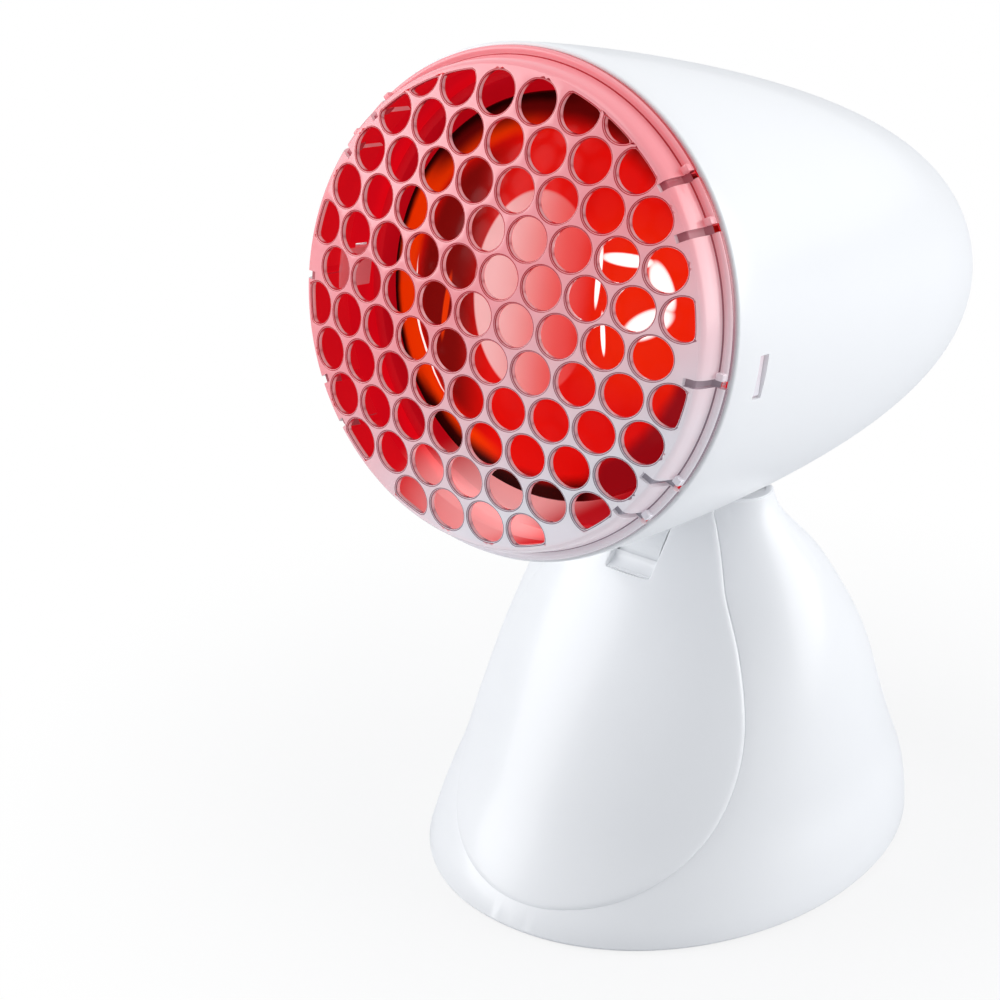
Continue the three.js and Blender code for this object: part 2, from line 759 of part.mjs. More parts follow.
function frontPanel() {
  const panel = common(standShell(0, standWall), panelCutter(-gap / 2));
  const notch = box(notchWidth, 2 * footFrontLength, standHeight)
    .translate(0, -footFrontLength, notchBottom + standHeight / 2);
  return cut(joined(panel, notchRibs()), notch, ...hoodSweep());
}

const bossRadius = 4.5;
const bossHeight = 42;
const bossShares = [[-0.37, -0.205], [0.37, -0.205], [-0.37, 0.23], [0.37, 0.23]];
const bossPlaces = placesUnderStand(bossShares);

function rearShell() {
  const wall = cut(standShell(panelProud, standWall + panelProud), panelCutter(gap / 2));
  const backing = common(
    cut(standBody(standWall + gap, 2 * plateBottom, flangeTop), standBody(flangeDepth, insideFrom, insideTo)),
    cut(panelCutter(panelFlange), panelCutter(-panelFlange)),
  );
  const plateTop = plateBottom + plateThickness;
  const bosses = bossPlaces.map(([x, y]) => barUp(bossRadius, bossHeight)
    .translate(x, y, plateTop + gap + bossHeight / 2));
  const held = bosses.map((boss) => common(boss, standBody(2 * panelProud, shellLift, standHeight)));
  const bored = bossPlaces.map(([x, y]) => barUp(screwDiameter / 2 + gap, bossHeight / 2)
    .translate(x, y, plateTop + bossHeight / 4));
  const neckBack = saddleBack + neckTop * Math.sin(restTilt + tiltUp);
  const neckWay = box(notchWidth, footFrontLength + neckBack, standHeight)
    .translate(0, (neckBack - footFrontLength) / 2, notchBottom + standHeight / 2);
  return cut(joined(wall, backing, ...held), ...bored, neckWay, switchCut(), glandCut(), ...hoodSweep());
}

// Base plate, feet and fastenings under the stand

const footShares = [[-0.25, -0.315], [0.25, -0.315], [-0.25, 0.335], [0.25, 0.335]];
const footPlaces = placesUnderStand(footShares);
const stemRadius = footDiameter / 4;

function basePlate() {
  const ring = standRing(plateBottom + plateThickness, panelProud + standWall + 2 * gap);
  const outline = new THREE.Shape(ring.map((point) => new THREE.Vector2(point.x, point.y)));
  const plate = new THREE.ExtrudeGeometry(outline, { depth: plateThickness, bevelEnabled: false })
    .translate(0, 0, plateBottom);
  const through = 4 * plateThickness;
  const stems = footPlaces.map(([x, y]) => barUp(stemRadius + gap, through).translate(x, y, plateBottom));
  const screws = [...bossPlaces, ...columnScrewPlaces, ...clampScrewPlaces]
    .map(([x, y]) => barUp(screwDiameter / 2 + gap, through).translate(x, y, plateBottom));
  return cut(plate, ...stems, ...screws);
}

function foot() {
  const radius = footDiameter / 2;
  const top = plateBottom - gap;
  const above = plateBottom + plateThickness + gap;
  const bulge = stemRadius + 2 * gap;
  return turned([
    [0, 0], [radius - gap, 0], [radius, top / 2], [radius - gap, top], [stemRadius, top], [stemRadius, above],
    [bulge, above], [stemRadius / 2, above + stemRadius], [0, above + stemRadius],
  ], 16).rotateX(Math.PI / 2);
}

// Screws from below, heads under the plate
function upScrews(places, length) {
  return places.map(([x, y]) => screw(length).rotateX(-Math.PI / 2).translate(x, y, plateBottom - gap));
}

// Pivot column: two cheeks, a web behind them, a shelf and two flanges, folded from one sheet
const bushFlange = 1;
const bushWall = 2;
const cheekInner = neckWidth / 2 + bushFlange + gap;
const cheekOuter = cheekInner + cheekThickness;
const columnFoot = plateBottom + plateThickness + gap;
const cheekFront = -14;
const webClear = 3;
const webInner = drumDiameter / 2 + webClear;
const webBelowAxle = 6;
const webTop = axleHeight - webBelowAxle;
const cheekRound = 11;
const shelfBelowDrum = 10;
const shelfAt = axleHeight - drumDiameter / 2 - shelfBelowDrum;
const bushRadius = axleDiameter / 2 + bushWall;
const flangeWidth = 3 * screwHead;
const columnScrewAcross = cheekOuter + flangeWidth / 4;
const columnScrewPlaces = [cheekFront + screwHead, webInner + cheekThickness - screwHead]
  .flatMap((y) => [[-columnScrewAcross, y], [columnScrewAcross, y]]);

function pivotColumn() {
  const cheekDepth = webInner + cheekThickness - cheekFront;
  const middle = (webInner + cheekThickness + cheekFront) / 2;
  const cheek = (side) => {
    const shape = new THREE.Shape();
    const back = webInner + cheekThickness;
    shape.moveTo(cheekFront, columnFoot);
    shape.lineTo(back, columnFoot);
    shape.lineTo(back, webTop);
    shape.absarc(0, axleHeight, cheekRound, 0, Math.PI, false);
    shape.lineTo(cheekFront, axleHeight - cheekThickness);
    return extrudedAcross(shape, cheekThickness).translate(side * (cheekInner + cheekThickness / 2), 0, 0);
  };
  const webHeight = webTop - columnFoot;
  const web = box(2 * cheekOuter, cheekThickness, webHeight)
    .translate(0, webInner + cheekThickness / 2, columnFoot + webHeight / 2);
  const shelf = box(2 * cheekOuter, cheekDepth, cheekThickness).translate(0, middle, shelfAt);
  const flange = box(2 * cheekOuter + flangeWidth, cheekDepth, cheekThickness)
    .translate(0, middle, columnFoot + cheekThickness / 2);
  const way = barAcross(bushRadius + gap, 4 * cheekOuter, 24).translate(0, 0, axleHeight);
  const holes = columnScrewPlaces.map(([x, y]) => barUp(screwDiameter / 2 + gap, 4 * cheekThickness)
    .translate(x, y, columnFoot));
  const leafHole = barUp(screwDiameter / 2 + gap, 4 * cheekThickness).translate(0, leafScrewAt, shelfAt);
  return cut(joined(cheek(-1), cheek(1), web, shelf, flange), way, ...holes, leafHole);
}

const leafScrewAt = drumDiameter / 3;
const axleTail = 4;
const axleEnd = cheekOuter + axleTail;
const axleHeadRim = 2.5;
const axleHeadRadius = axleDiameter / 2 + axleHeadRim;
const axleHeadLength = 2.5;

function tiltAxle() {
  const from = -cheekOuter - 3 * gap;
  const pin = barAcross(axleDiameter / 2, axleEnd - from + overrun / 4, 24)
    .translate((axleEnd + from) / 2 - overrun / 8, 0, 0);
  const head = barAcross(axleHeadRadius, axleHeadLength, 24).translate(from - axleHeadLength / 2, 0, 0);
  const groove = cut(barAcross(axleDiameter, clipThickness + 2 * gap, 24),
    barAcross(axleDiameter / 2 - clipGroove, overrun * 2, 24)).translate(clipAt, 0, 0);
  return cut(joined(pin, head), groove).translate(0, 0, axleHeight);
}

const clipThickness = 1;
const clipGroove = 0.8;
const clipRim = 2;
const clipAt = cheekOuter + 3 * gap + clipThickness;

function axleClip() {
  const outer = barAcross(axleDiameter / 2 + clipRim, clipThickness, 24);
  const inner = barAcross(axleDiameter / 2 - clipGroove + gap, 4 * clipThickness, 24);
  const mouth = box(4 * clipThickness, axleDiameter / 2, axleDiameter)
    .translate(0, 0, -axleDiameter / 2);
  return cut(outer, inner, mouth).translate(clipAt, 0, axleHeight);
}

// A flanged bush in a cheek, its flange against the neck
function axleBush(side) {
  const bore = axleDiameter / 2 + gap / 2;
  const flange = bushRadius + bushWall;
  const inner = neckWidth / 2 + gap;
  const bush = turned([
    [bore, inner], [flange, inner], [flange, cheekInner - gap], [bushRadius, cheekInner - gap],
    [bushRadius, cheekOuter + gap], [bore, cheekOuter + gap],
  ], 24);
  return bush.rotateZ(-side * Math.PI / 2).translate(0, 0, axleHeight);
}

const springThickness = 0.8;
const springWidth = 9.5;

// Leaf spring with a nose that clicks into the drum's notches
function detentSpring() {
  const thick = springThickness;
  const nose = drumDiameter / 2 + gap + slip;
  const seat = shelfAt + cheekThickness / 2 + gap - axleHeight;
  const outline = [
    [leafScrewAt + screwHead / 2, seat], [leafScrewAt - screwHead / 2, seat],
    [drumDiameter / 10, -nose - 2 * thick],
    [0, -nose - thick], [-drumDiameter / 10, -nose - 2 * thick], [-drumDiameter / 4, -nose - 5 * thick],
  ];
  const back = outline.slice().reverse().map(([y, z]) => [y, z + thick]);
  const shape = new THREE.Shape([...outline, ...back].map(([y, z]) => new THREE.Vector2(y, z)));
  const strip = extrudedAcross(shape, springWidth).translate(0, 0, axleHeight);
  return cut(strip, barUp(screwDiameter / 2 + gap, 8 * thick).translate(0, leafScrewAt, shelfAt));
}

function detentScrew() {
  return screw(2 * cheekThickness).rotateX(Math.PI / 2)
    .translate(0, leafScrewAt, shelfAt + cheekThickness / 2 + 2 * gap + springThickness);
}

// Switch on the back of the stand

const switchBodyDepth = 15;
const bezelHeight = 2;
const bezelRim = 2.2;
const rockerDepth = 7;

// Hole through the wall for the body, and a flat seat for the bezel
function switchCut() {
  const place = new THREE.Object3D();
  atRear(place, rearFrame(switchAt, 0));
  const hole = box(switchWidth - bezelRim + 2 * gap, 6 * standWall, switchHeight - bezelRim + 2 * gap);
  const seat = box(switchWidth + 2 * gap, bezelHeight, switchHeight + 2 * gap)
    .translate(0, bezelHeight / 2, 0);
  return joined(hole, seat).applyMatrix4(place.matrix);
}

function switchBody() {
  const bezel = box(switchWidth, bezelHeight, switchHeight).translate(0, bezelHeight / 2 + gap, 0);
  const body = box(switchWidth - bezelRim, switchBodyDepth, switchHeight - bezelRim)
    .translate(0, bezelHeight / 2 + gap - switchBodyDepth / 2, 0);
  const window = box(switchWidth - 2 * bezelRim, 2 * rockerDepth, switchHeight - 2 * bezelRim)
    .translate(0, bezelHeight + gap, 0);
  return cut(joined(bezel, body), window);
}

const rockerHalf = switchHeight / 2 - bezelRim - 2 * gap;
const rockerSwing = THREE.MathUtils.degToRad(7);

function switchRocker() {
  const rise = 3;
  const shape = new THREE.Shape([
    [-rise, -rockerHalf * 0.7], [rise, -rockerHalf], [rise * 0.7, 0],
    [rise, rockerHalf], [-rise, rockerHalf * 0.7],
  ].map(([y, z]) => new THREE.Vector2(y, z)));
  return extrudedAcross(shape, switchWidth - 2 * bezelRim - 2 * gap);
}

// Cord inlet, clamp and terminals

function glandCut() {
  const hole = new THREE.Object3D();
  atRear(hole, rearFrame(glandAt, 0));
  return bar(glandDiameter / 2 + gap, 8 * standWall, 24).applyMatrix4(hole.matrix);
}

const glandRim = 2;
const glandStep = 1.6;
const glandHead = 2.4;

function cordGland() {
  const collar = glandDiameter / 2 + glandRim;
  const bore = cordBore / 2;
  const radius = glandDiameter / 2;
  const inside = -standWall - 3 * gap;
  return turned([
    [bore, glandHead], [bore, 2 * inside], [radius, 2 * inside], [radius, 3 * gap], [collar, 3 * gap],
    [collar, glandStep], [radius, glandHead],
  ], 24);
}

const clampShare = 0.6;
const clampHeight = 5;
const clampWidth = 4 * screwHead;
const clampScrewPlaces = [-1, 1]
  .map((side) => [side * (clampWidth / 2 - screwHead / 2), clampShare * footRearLength]);

function cordClamp() {
  const plateTop = plateBottom + plateThickness + gap;
  const strap = box(clampWidth, screwHead + 2 * gap, clampHeight)
    .translate(0, clampShare * footRearLength, plateTop + clampHeight / 2);
  const way = bar(cordBore / 2, 2 * screwHead).translate(0, clampShare * footRearLength, plateTop);
  const holes = clampScrewPlaces
    .map(([x, y]) => barUp(screwDiameter / 2 + gap, 4 * clampHeight).translate(x, y, clampHeight));
  return cut(strap, way, ...holes);
}

// Screws from above, through the clamp into the plate
function clampScrews() {
  const seat = plateBottom + plateThickness + clampHeight + 2 * gap;
  return clampScrewPlaces.map(([x, y]) => screw(clampHeight + plateThickness / 2)
    .rotateX(Math.PI / 2).translate(x, y, seat));
}

const blockPole = 9;
const blockHeight = 11;

function terminalBlock() {
  const pole = blockPole;
  const poles = 3;
  const high = blockHeight;
  const plateTop = plateBottom + plateThickness + gap;
  const place = [-footWidth / 5, footRearLength / 3];
  const block = box(poles * pole, 1.6 * pole, high).translate(place[0], place[1], plateTop + high / 2);
  const ways = Array.from({ length: poles }, (_, i) => {
    const x = place[0] + (i - (poles - 1) / 2) * pole;
    return [
      bar(pole / 4, 4 * pole, 8).translate(x, place[1], plateTop + high * 0.4),
      barUp(pole / 4, high, 8).translate(x, place[1] + pole / 2, plateTop + high),
      barUp(pole / 4, high, 8).translate(x, place[1] - pole / 2, plateTop + high),
    ];
  }).flat();
  return cut(block, ...ways);
}

// The assembly

const whole = new THREE.Group();
const lamp = new THREE.Group();
whole.add(lamp);

const head = new THREE.Group();
head.position.set(0, 0, axleHeight);
head.rotation.x = -restTilt;
const optics = new THREE.Group();
optics.position.set(0, -axleBehindGrille, axleBelowAxis);
head.add(optics);
lamp.add(head);

const hood = piece('hood_shell', hoodShell(), white);
hood.position.y = rimBehindGrille;
optics.add(hood);
optics.add(piece('protective_grille', protectiveGrille(), clear));
optics.add(piece('bulb_lens', bulbLens(), redGlass));
optics.add(piece('bulb_reflector', bulbReflector(), mirrorCoat));
optics.add(piece('bulb_cap', bulbCap(), brass));
optics.add(piece('bulb_contact', bulbContact(), steel));
optics.add(piece('bulb_filament', bulbFilament(), tungsten));
optics.add(piece('lampholder', lampholder(), porcelain));
optics.add(piece('heat_shield', heatShield(), aluminium));

const bracket = piece('lamp_bracket', lampBracket(), steel);
bracket.position.set(0, bracketBehindGrille, -sag(bracketInHood));
optics.add(bracket);
const shortScrew = 7;
const longScrew = 12;
const holderSeat = bracketBehindGrille - gap;
const bracketSeat = holderSeat - gap - shieldThickness;
const holderScrewPlaces = [-1, 1].map((side) => [side * holderScrewRadius, 0]);
optics.add(...pieces('bracket_screw', forwardScrews(bracketScrewPlaces(), bracketSeat, shortScrew), steel));
optics.add(...pieces('holder_screw', forwardScrews(holderScrewPlaces, holderSeat, shortScrew), steel));
head.add(piece('neck_block', neckBlock(), softWhite));
head.add(...pieces('neck_screw', neckScrews(), steel));

lamp.add(piece('front_panel', frontPanel(), white));
lamp.add(piece('rear_shell', rearShell(), white));
lamp.add(piece('base_plate', basePlate(), softWhite));
['front_left', 'front_right', 'rear_left', 'rear_right'].forEach((corner, i) => {
  const rest = piece(`foot_${corner}`, foot(), rubber);
  rest.position.set(...footPlaces[i], 0);
  lamp.add(rest);
});
lamp.add(...pieces('base_screw', upScrews(bossPlaces, longScrew), steel));
lamp.add(...pieces('column_screw', upScrews(columnScrewPlaces, shortScrew), steel));
lamp.add(piece('pivot_column', pivotColumn(), steel));
lamp.add(piece('tilt_axle', tiltAxle(), steel));
lamp.add(piece('axle_clip', axleClip(), steel));
lamp.add(piece('axle_bush_left', axleBush(-1), softWhite));
lamp.add(piece('axle_bush_right', axleBush(1), softWhite));
lamp.add(piece('detent_spring', detentSpring(), steel));
lamp.add(piece('detent_screw', detentScrew(), steel));

const switchGroup = atRear(new THREE.Group(), rearFrame(switchAt, 0));
switchGroup.add(piece('switch_body', switchBody(), darkPlastic));
const rocker = piece('switch_rocker', switchRocker(), darkPlastic);
rocker.rotation.x = -rockerSwing;
switchGroup.add(rocker);
lamp.add(switchGroup);

const glandGroup = atRear(new THREE.Group(), rearFrame(glandAt, 0));
glandGroup.add(piece('cord_gland', cordGland(), rubber));
lamp.add(glandGroup);
lamp.add(piece('cord_clamp', cordClamp(), darkPlastic));
lamp.add(...pieces('clamp_screw', clampScrews(), steel));
lamp.add(piece('terminal_block', terminalBlock(), porcelain));

const reach = new THREE.Box3().setFromObject(lamp, true);
lamp.position.y = -(reach.min.y + reach.max.y) / 2;

export default whole;
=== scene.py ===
# %% [markdown]
# An infrared heat therapy lamp: a long white hood with a red reflector bulb behind a clear,
# perforated grille. The hood tilts on a rounded white stand, which is moulded as a front panel and
# a rear shell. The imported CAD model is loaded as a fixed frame. The pieces that show are modelled
# again here with finer shapes, and the rest of the CAD solids keep their shapes and get real
# finishes.

# %% Load the frame
import json
import math
import bmesh
import bpy
from mathutils import Matrix, Vector
from mathutils.geometry import delaunay_2d_cdt


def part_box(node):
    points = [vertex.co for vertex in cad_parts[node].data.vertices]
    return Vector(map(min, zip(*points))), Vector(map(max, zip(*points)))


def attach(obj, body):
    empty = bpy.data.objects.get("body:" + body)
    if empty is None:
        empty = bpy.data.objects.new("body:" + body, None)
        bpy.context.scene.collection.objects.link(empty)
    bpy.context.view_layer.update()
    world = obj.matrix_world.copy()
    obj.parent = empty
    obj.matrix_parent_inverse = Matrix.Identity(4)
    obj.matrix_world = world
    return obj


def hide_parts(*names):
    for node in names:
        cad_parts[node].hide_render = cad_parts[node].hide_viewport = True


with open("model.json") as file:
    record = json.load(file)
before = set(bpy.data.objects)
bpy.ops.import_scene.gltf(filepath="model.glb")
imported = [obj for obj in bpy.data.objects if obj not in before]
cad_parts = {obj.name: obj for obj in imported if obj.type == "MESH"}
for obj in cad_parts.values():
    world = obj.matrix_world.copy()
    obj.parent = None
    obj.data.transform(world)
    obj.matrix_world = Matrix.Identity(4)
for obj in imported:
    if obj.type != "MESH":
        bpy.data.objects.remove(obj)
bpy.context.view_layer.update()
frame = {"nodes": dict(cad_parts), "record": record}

MM = 0.001

# %% [markdown]
# The camera comes first, because everything is judged through it. The photograph was taken from
# the lamp's right, above the hood, with a long lens. The frame is a square of 1000 pixels, and the
# small shifts put the lamp where the photograph has it without turning the camera.

# %% Camera
FRAME_PX = 1000
FOCAL_PX = 3000
SENSOR_MM = 36
VIEW_DEPTH = 50
AXIS_PX = (450.3, 649.3)
CAMERA_AT = Vector((488.8, -747.1, 539.1)) * MM
CAMERA_RIGHT = Vector((0.7857, 0.6185, -0.0086))
CAMERA_UP = Vector((-0.2878, 0.3778, 0.88))

camera_data = bpy.data.cameras.new("photo_camera")
camera_data.sensor_width = SENSOR_MM
camera_data.lens = FOCAL_PX / FRAME_PX * SENSOR_MM
camera_data.shift_x = (FRAME_PX / 2 - AXIS_PX[0]) / FRAME_PX
camera_data.shift_y = (AXIS_PX[1] - FRAME_PX / 2) / FRAME_PX
camera_data.clip_end = VIEW_DEPTH
camera = bpy.data.objects.new("photo_camera", camera_data)
bpy.context.collection.objects.link(camera)
camera_back = CAMERA_RIGHT.cross(CAMERA_UP).normalized()
camera_axes = Matrix((CAMERA_RIGHT, CAMERA_UP, camera_back)).transposed().to_4x4()
camera.matrix_world = Matrix.Translation(CAMERA_AT) @ camera_axes
bpy.context.scene.camera = camera
print("lens, mm:", round(camera_data.lens, 1))
print("shift:", round(camera_data.shift_x, 3), round(camera_data.shift_y, 3))

# %% [markdown]
# The lamp's real sizes in millimetres, the same as in the CAD model, and the two places everything
# hangs on: the tilt axle, and the optical axis that the hood, the grille and the bulb share. Each
# piece is drawn in its own simple frame and placed by one of two matrices, one for the stand and
# one for the tilted head, so no piece has to be turned by hand.

# %% Sizes
HOOD_RADIUS = 75.4
HOOD_LENGTH = 228
HOOD_WALL = 2.6
HOOD_DROP = 8.1
HOOD_FULLNESS = 1.366
HOOD_BLUNTNESS = 3.125
RIM_BEHIND_GRILLE = 21.9
DOME_RADIUS = 233
FIELD_RADIUS = 68.2
HOLE_PITCH = 14.2
HOLE_RADIUS = 6.2
GRILLE_THICKNESS = 2.2
BULB_RADIUS = 60.5
BULB_BEHIND_GRILLE = 30
BULB_LENGTH = 136
AXLE_HEIGHT = 100
AXLE_BEHIND_GRILLE = 127.2
AXLE_BELOW_AXIS = 95.1
REST_TILT = math.radians(11.3)
TILT_UP = math.radians(6)
TILT_DOWN = math.radians(18)
STAND_HEIGHT = 128

axle_low, axle_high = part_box("tilt_axle")
STAND_Y = (axle_low.y + axle_high.y) / 2
STAND_TO_WORLD = Matrix.Translation((0, STAND_Y, 0)) @ Matrix.Scale(MM, 4)


def moved(place, x, y, z):
    """A place moved along its own axes."""
    return place @ Matrix.Translation((x, y, z))


def head_in_stand(tilt):
    """The grille's middle in the stand's frame, when the head looks up by an angle."""
    turned = Matrix.Translation((0, 0, AXLE_HEIGHT)) @ Matrix.Rotation(-tilt, 4, "X")
    return moved(turned, 0, -AXLE_BEHIND_GRILLE, AXLE_BELOW_AXIS)


HEAD_TO_WORLD = STAND_TO_WORLD @ head_in_stand(REST_TILT)
grille_at = HEAD_TO_WORLD.translation
print("grille's middle in the world, mm:", [round(v / MM, 1) for v in grille_at])

# %% [markdown]
# Most of this lamp is round, so a lathe does most of the work: it turns an outline about the
# optical axis, which is how the hood, the bulb and the shield are made. Primitives that are pushed
# into shape would be quicker, but an outline in millimetres gives each wall its real thickness.
# The next helpers close a mesh, mark its sharp edges, and make it a piece that moves with its CAD
# body.

# %% Lathe and pieces
CREASE = math.radians(32)


def lathe(outline, sides):
    """Points and faces of a closed outline of (radius, depth) turned about +Y."""
    points, rings = [], []
    for radius, depth in outline:
        count = 1 if radius < 1e-6 else sides
        rings.append([len(points) + k for k in range(count)])
        for k in range(count):
            angle = 2 * math.pi * k / sides
            points.append((radius * math.cos(angle), depth, radius * math.sin(angle)))
    faces = []
    for one, two in zip(rings, rings[1:] + rings[:1]):
        if len(one) == 1 and len(two) == 1:
            continue
        for k in range(sides):
            n = (k + 1) % sides
            corners = [one[k % len(one)], one[n % len(one)], two[n % len(two)], two[k % len(two)]]
            faces.append(list(dict.fromkeys(corners)))
    return points, faces


def mesh_from(name, points, faces, place, finish_numbers=None):
    """A closed mesh with its faces turned outwards. Each face may have a finish number."""
    mesh = bpy.data.meshes.new(name)
    mesh.from_pydata([place @ Vector(p) for p in points], [], faces)
    if finish_numbers:
        mesh.polygons.foreach_set("material_index", finish_numbers)
    form = bmesh.new()
    form.from_mesh(mesh)
    bmesh.ops.remove_doubles(form, verts=form.verts, dist=1e-7)
    bmesh.ops.recalc_face_normals(form, faces=form.faces)
    form.to_mesh(mesh)
    form.free()
    return mesh


def softened(mesh):
    """The mesh shaded smooth, apart from its real edges."""
    mesh.polygons.foreach_set("use_smooth", [True] * len(mesh.polygons))
    mesh.set_sharp_from_angle(angle=CREASE)
    return mesh


def piece(name, mesh, body, finishes, stands_for):
    """A shown piece: on its body, in its finishes, in place of its CAD nodes."""
    form = bpy.data.objects.new(name, softened(mesh))
    bpy.context.collection.objects.link(form)
    if not mesh.materials:
        for surface in finishes:
            mesh.materials.append(surface)
    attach(form, body)
    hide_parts(*stands_for)
    print(f"{name}: {len(mesh.vertices)} points, {len(mesh.polygons)} faces")
    return form


# %% [markdown]
# Small forms are blocks with rounded edges, and prisms drawn out from an outline. Openings are cut
# with an exact boolean, as the slides of a mould cut them, and the cut faces can have a finish of
# their own. Forms that only touch are joined into one mesh without a boolean, which is faster.

# %% Blocks, prisms and cuts
BLOCK_ROUND_STEPS = 3


def together(meshes):
    """One mesh of several closed ones."""
    mesh = bpy.data.meshes.new("together")
    form = bmesh.new()
    for part in meshes:
        form.from_mesh(part)
    form.to_mesh(mesh)
    form.free()
    return mesh


def carved(mesh, cutters, finishes, cut_finish=0):
    """The mesh with every cutter taken out of it. The cut faces get the numbered finish."""
    work = bpy.data.objects.new("work", mesh)
    tool_mesh = together(cutters)
    tool_mesh.polygons.foreach_set("material_index", [cut_finish] * len(tool_mesh.polygons))
    for held in (mesh, tool_mesh):
        for surface in finishes:
            held.materials.append(surface)
    tool = bpy.data.objects.new("tool", tool_mesh)
    for helper in (work, tool):
        bpy.context.collection.objects.link(helper)
    cut = work.modifiers.new("cut", "BOOLEAN")
    cut.operation = "DIFFERENCE"
    cut.solver = "EXACT"
    cut.object = tool
    bpy.context.view_layer.update()
    shown = work.evaluated_get(bpy.context.evaluated_depsgraph_get())
    result = bpy.data.meshes.new_from_object(shown)
    for helper in (work, tool):
        bpy.data.objects.remove(helper)
    return result


def block(size, place, bevel=0.0):
    """A block of (across, deep, high) with rounded edges."""
    mesh = bpy.data.meshes.new("block")
    form = bmesh.new()
    bmesh.ops.create_cube(form, size=1, matrix=Matrix.Diagonal((*size, 1)))
    if bevel:
        bmesh.ops.bevel(form, geom=form.edges[:], offset=bevel, segments=BLOCK_ROUND_STEPS,
                        affect="EDGES", profile=0.5)
    form.transform(place)
    form.to_mesh(mesh)
    form.free()
    return mesh


def prism(outline, low, high):
    """Points and faces of an outline of (y, z), drawn out from x = low to x = high."""
    points = [(x, y, z) for x in (low, high) for y, z in outline]
    n = len(outline)
    faces = [list(range(n)), list(range(n, 2 * n))]
    faces += [(k, (k + 1) % n, n + (k + 1) % n, n + k) for k in range(n)]
    return points, faces


# %% [markdown]
# Finishes are node trees, so they have no seams and no images, and they stay sharp at any
# distance. One small function adds a node with its settings and its links. Another turns a hex
# colour, as a paint chart gives it, into the linear light that the renderer counts in. Patterns
# are sized in millimetres, and what is the same all over a surface is set straight on the shader.

# %% Nodes and materials
def linear(hex_colour):
    """sRGB hex to linear RGBA."""
    shares = [int(hex_colour[i:i + 2], 16) / 255 for i in (1, 3, 5)]
    return (*[s / 12.92 if s <= 0.04045 else ((s + 0.055) / 1.055) ** 2.4 for s in shares], 1)


def add(tree, kind, inputs=None, **settings):
    """A node with its settings. An input is a value or the socket that feeds it."""
    node = tree.nodes.new(kind)
    for key, value in settings.items():
        setattr(node, key, value)
    for key, value in (inputs or {}).items():
        if isinstance(value, bpy.types.NodeSocket):
            tree.links.new(value, node.inputs[key])
        else:
            node.inputs[key].default_value = value
    return node


def finish(name, **shader):
    """A new material with a Principled shader whose sockets are set directly."""
    material = bpy.data.materials.new(name)
    material.use_nodes = True
    tree = material.node_tree
    tree.nodes.clear()
    sockets = {key.replace("_", " "): value for key, value in shader.items()}
    principled = add(tree, "ShaderNodeBsdfPrincipled", sockets)
    add(tree, "ShaderNodeOutputMaterial", {"Surface": principled.outputs[0]})
    place = add(tree, "ShaderNodeTexCoord").outputs["Object"]
    return material, tree, principled, place


# %% [markdown]
# A real surface is never quite even. The same few steps put that into each finish: a noise at the
# right size, a blend between two close colours, a small range of roughness, and a shallow bump.
# They are functions, so each finish below reads as a short recipe.

# %% Patterns
def noise_of(tree, place, size_mm, detail=2.0):
    """Noise whose bumps are size_mm across."""
    return add(tree, "ShaderNodeTexNoise", {
        "Vector": place, "Scale": 1 / (size_mm * MM), "Detail": detail}).outputs["Fac"]


def spread(tree, value, low, high):
    """A share from 0 to 1, spread from low to high."""
    return add(tree, "ShaderNodeMapRange", {
        "Value": value, "To Min": low, "To Max": high}).outputs[0]


def blend(tree, factor, one, two):
    """A colour between two ends, which are hex colours, linear colours or sockets."""
    ends = [linear(end) if isinstance(end, str) else end for end in (one, two)]
    return add(tree, "ShaderNodeMix", {"Factor": factor, "A": ends[0], "B": ends[1]},
               data_type="RGBA").outputs[2]


def tinted(tree, principled, pattern, dark, light):
    tree.links.new(blend(tree, pattern, dark, light), principled.inputs["Base Color"])


def roughened(tree, principled, pattern, low, high):
    tree.links.new(spread(tree, pattern, low, high), principled.inputs["Roughness"])


def bumped(tree, principled, height, depth_mm, strength=1.0):
    bump = add(tree, "ShaderNodeBump", {
        "Height": height, "Distance": depth_mm * MM, "Strength": strength})
    tree.links.new(bump.outputs[0], principled.inputs["Normal"])


# %% [markdown]
# The hood and the stand are ABS moulded in a polished tool. It gives the eye a clean white with a
# broad soft gloss and a very faint waviness, the orange peel that all moulded gloss plastic has. A
# thin coat over a rougher base gives that double gloss. The neck and the base are the same plastic
# from a finely blasted tool, and the rubber has the grain of an eroded one.

# %% Moulded plastics and rubber
PLASTIC_CLOUD_MM = 60
PEEL_MM = 2.5
RUBBER_GRAIN_MM = 0.5


def moulded_abs(name, dark, light, roughness, coat):
    material, tree, principled, place = finish(
        name, IOR=1.53, Coat_Weight=coat, Coat_Roughness=0.08)
    cloud = noise_of(tree, place, PLASTIC_CLOUD_MM)
    tinted(tree, principled, cloud, dark, light)
    roughened(tree, principled, cloud, roughness - 0.02, roughness + 0.02)
    bumped(tree, principled, noise_of(tree, place, PEEL_MM), 0.006, 0.2)
    return material


def moulded_rubber():
    """Matt nitrile rubber with a fine erosion grain from its tool."""
    material, tree, principled, place = finish(
        "black_rubber_moulded", IOR=1.5, Specular_IOR_Level=0.35)
    grain = noise_of(tree, place, RUBBER_GRAIN_MM, 3.0)
    tinted(tree, principled, grain, "#17181A", "#2A2B2E")
    roughened(tree, principled, grain, 0.7, 0.9)
    bumped(tree, principled, grain, 0.05)
    return material


gloss_white = moulded_abs("white_abs_moulded_gloss", "#F6F7F9", "#F9FAFC", 0.32, 0.12)
satin_white = moulded_abs("white_abs_moulded_satin", "#E7E9EC", "#EEF0F2", 0.42, 0.0)
dark_abs = moulded_abs("black_abs_moulded_satin", "#1B1C1F", "#232427", 0.4, 0.0)
rubber = moulded_rubber()
print("plastics and rubber:", *[m.name for m in (gloss_white, satin_white, dark_abs, rubber)])

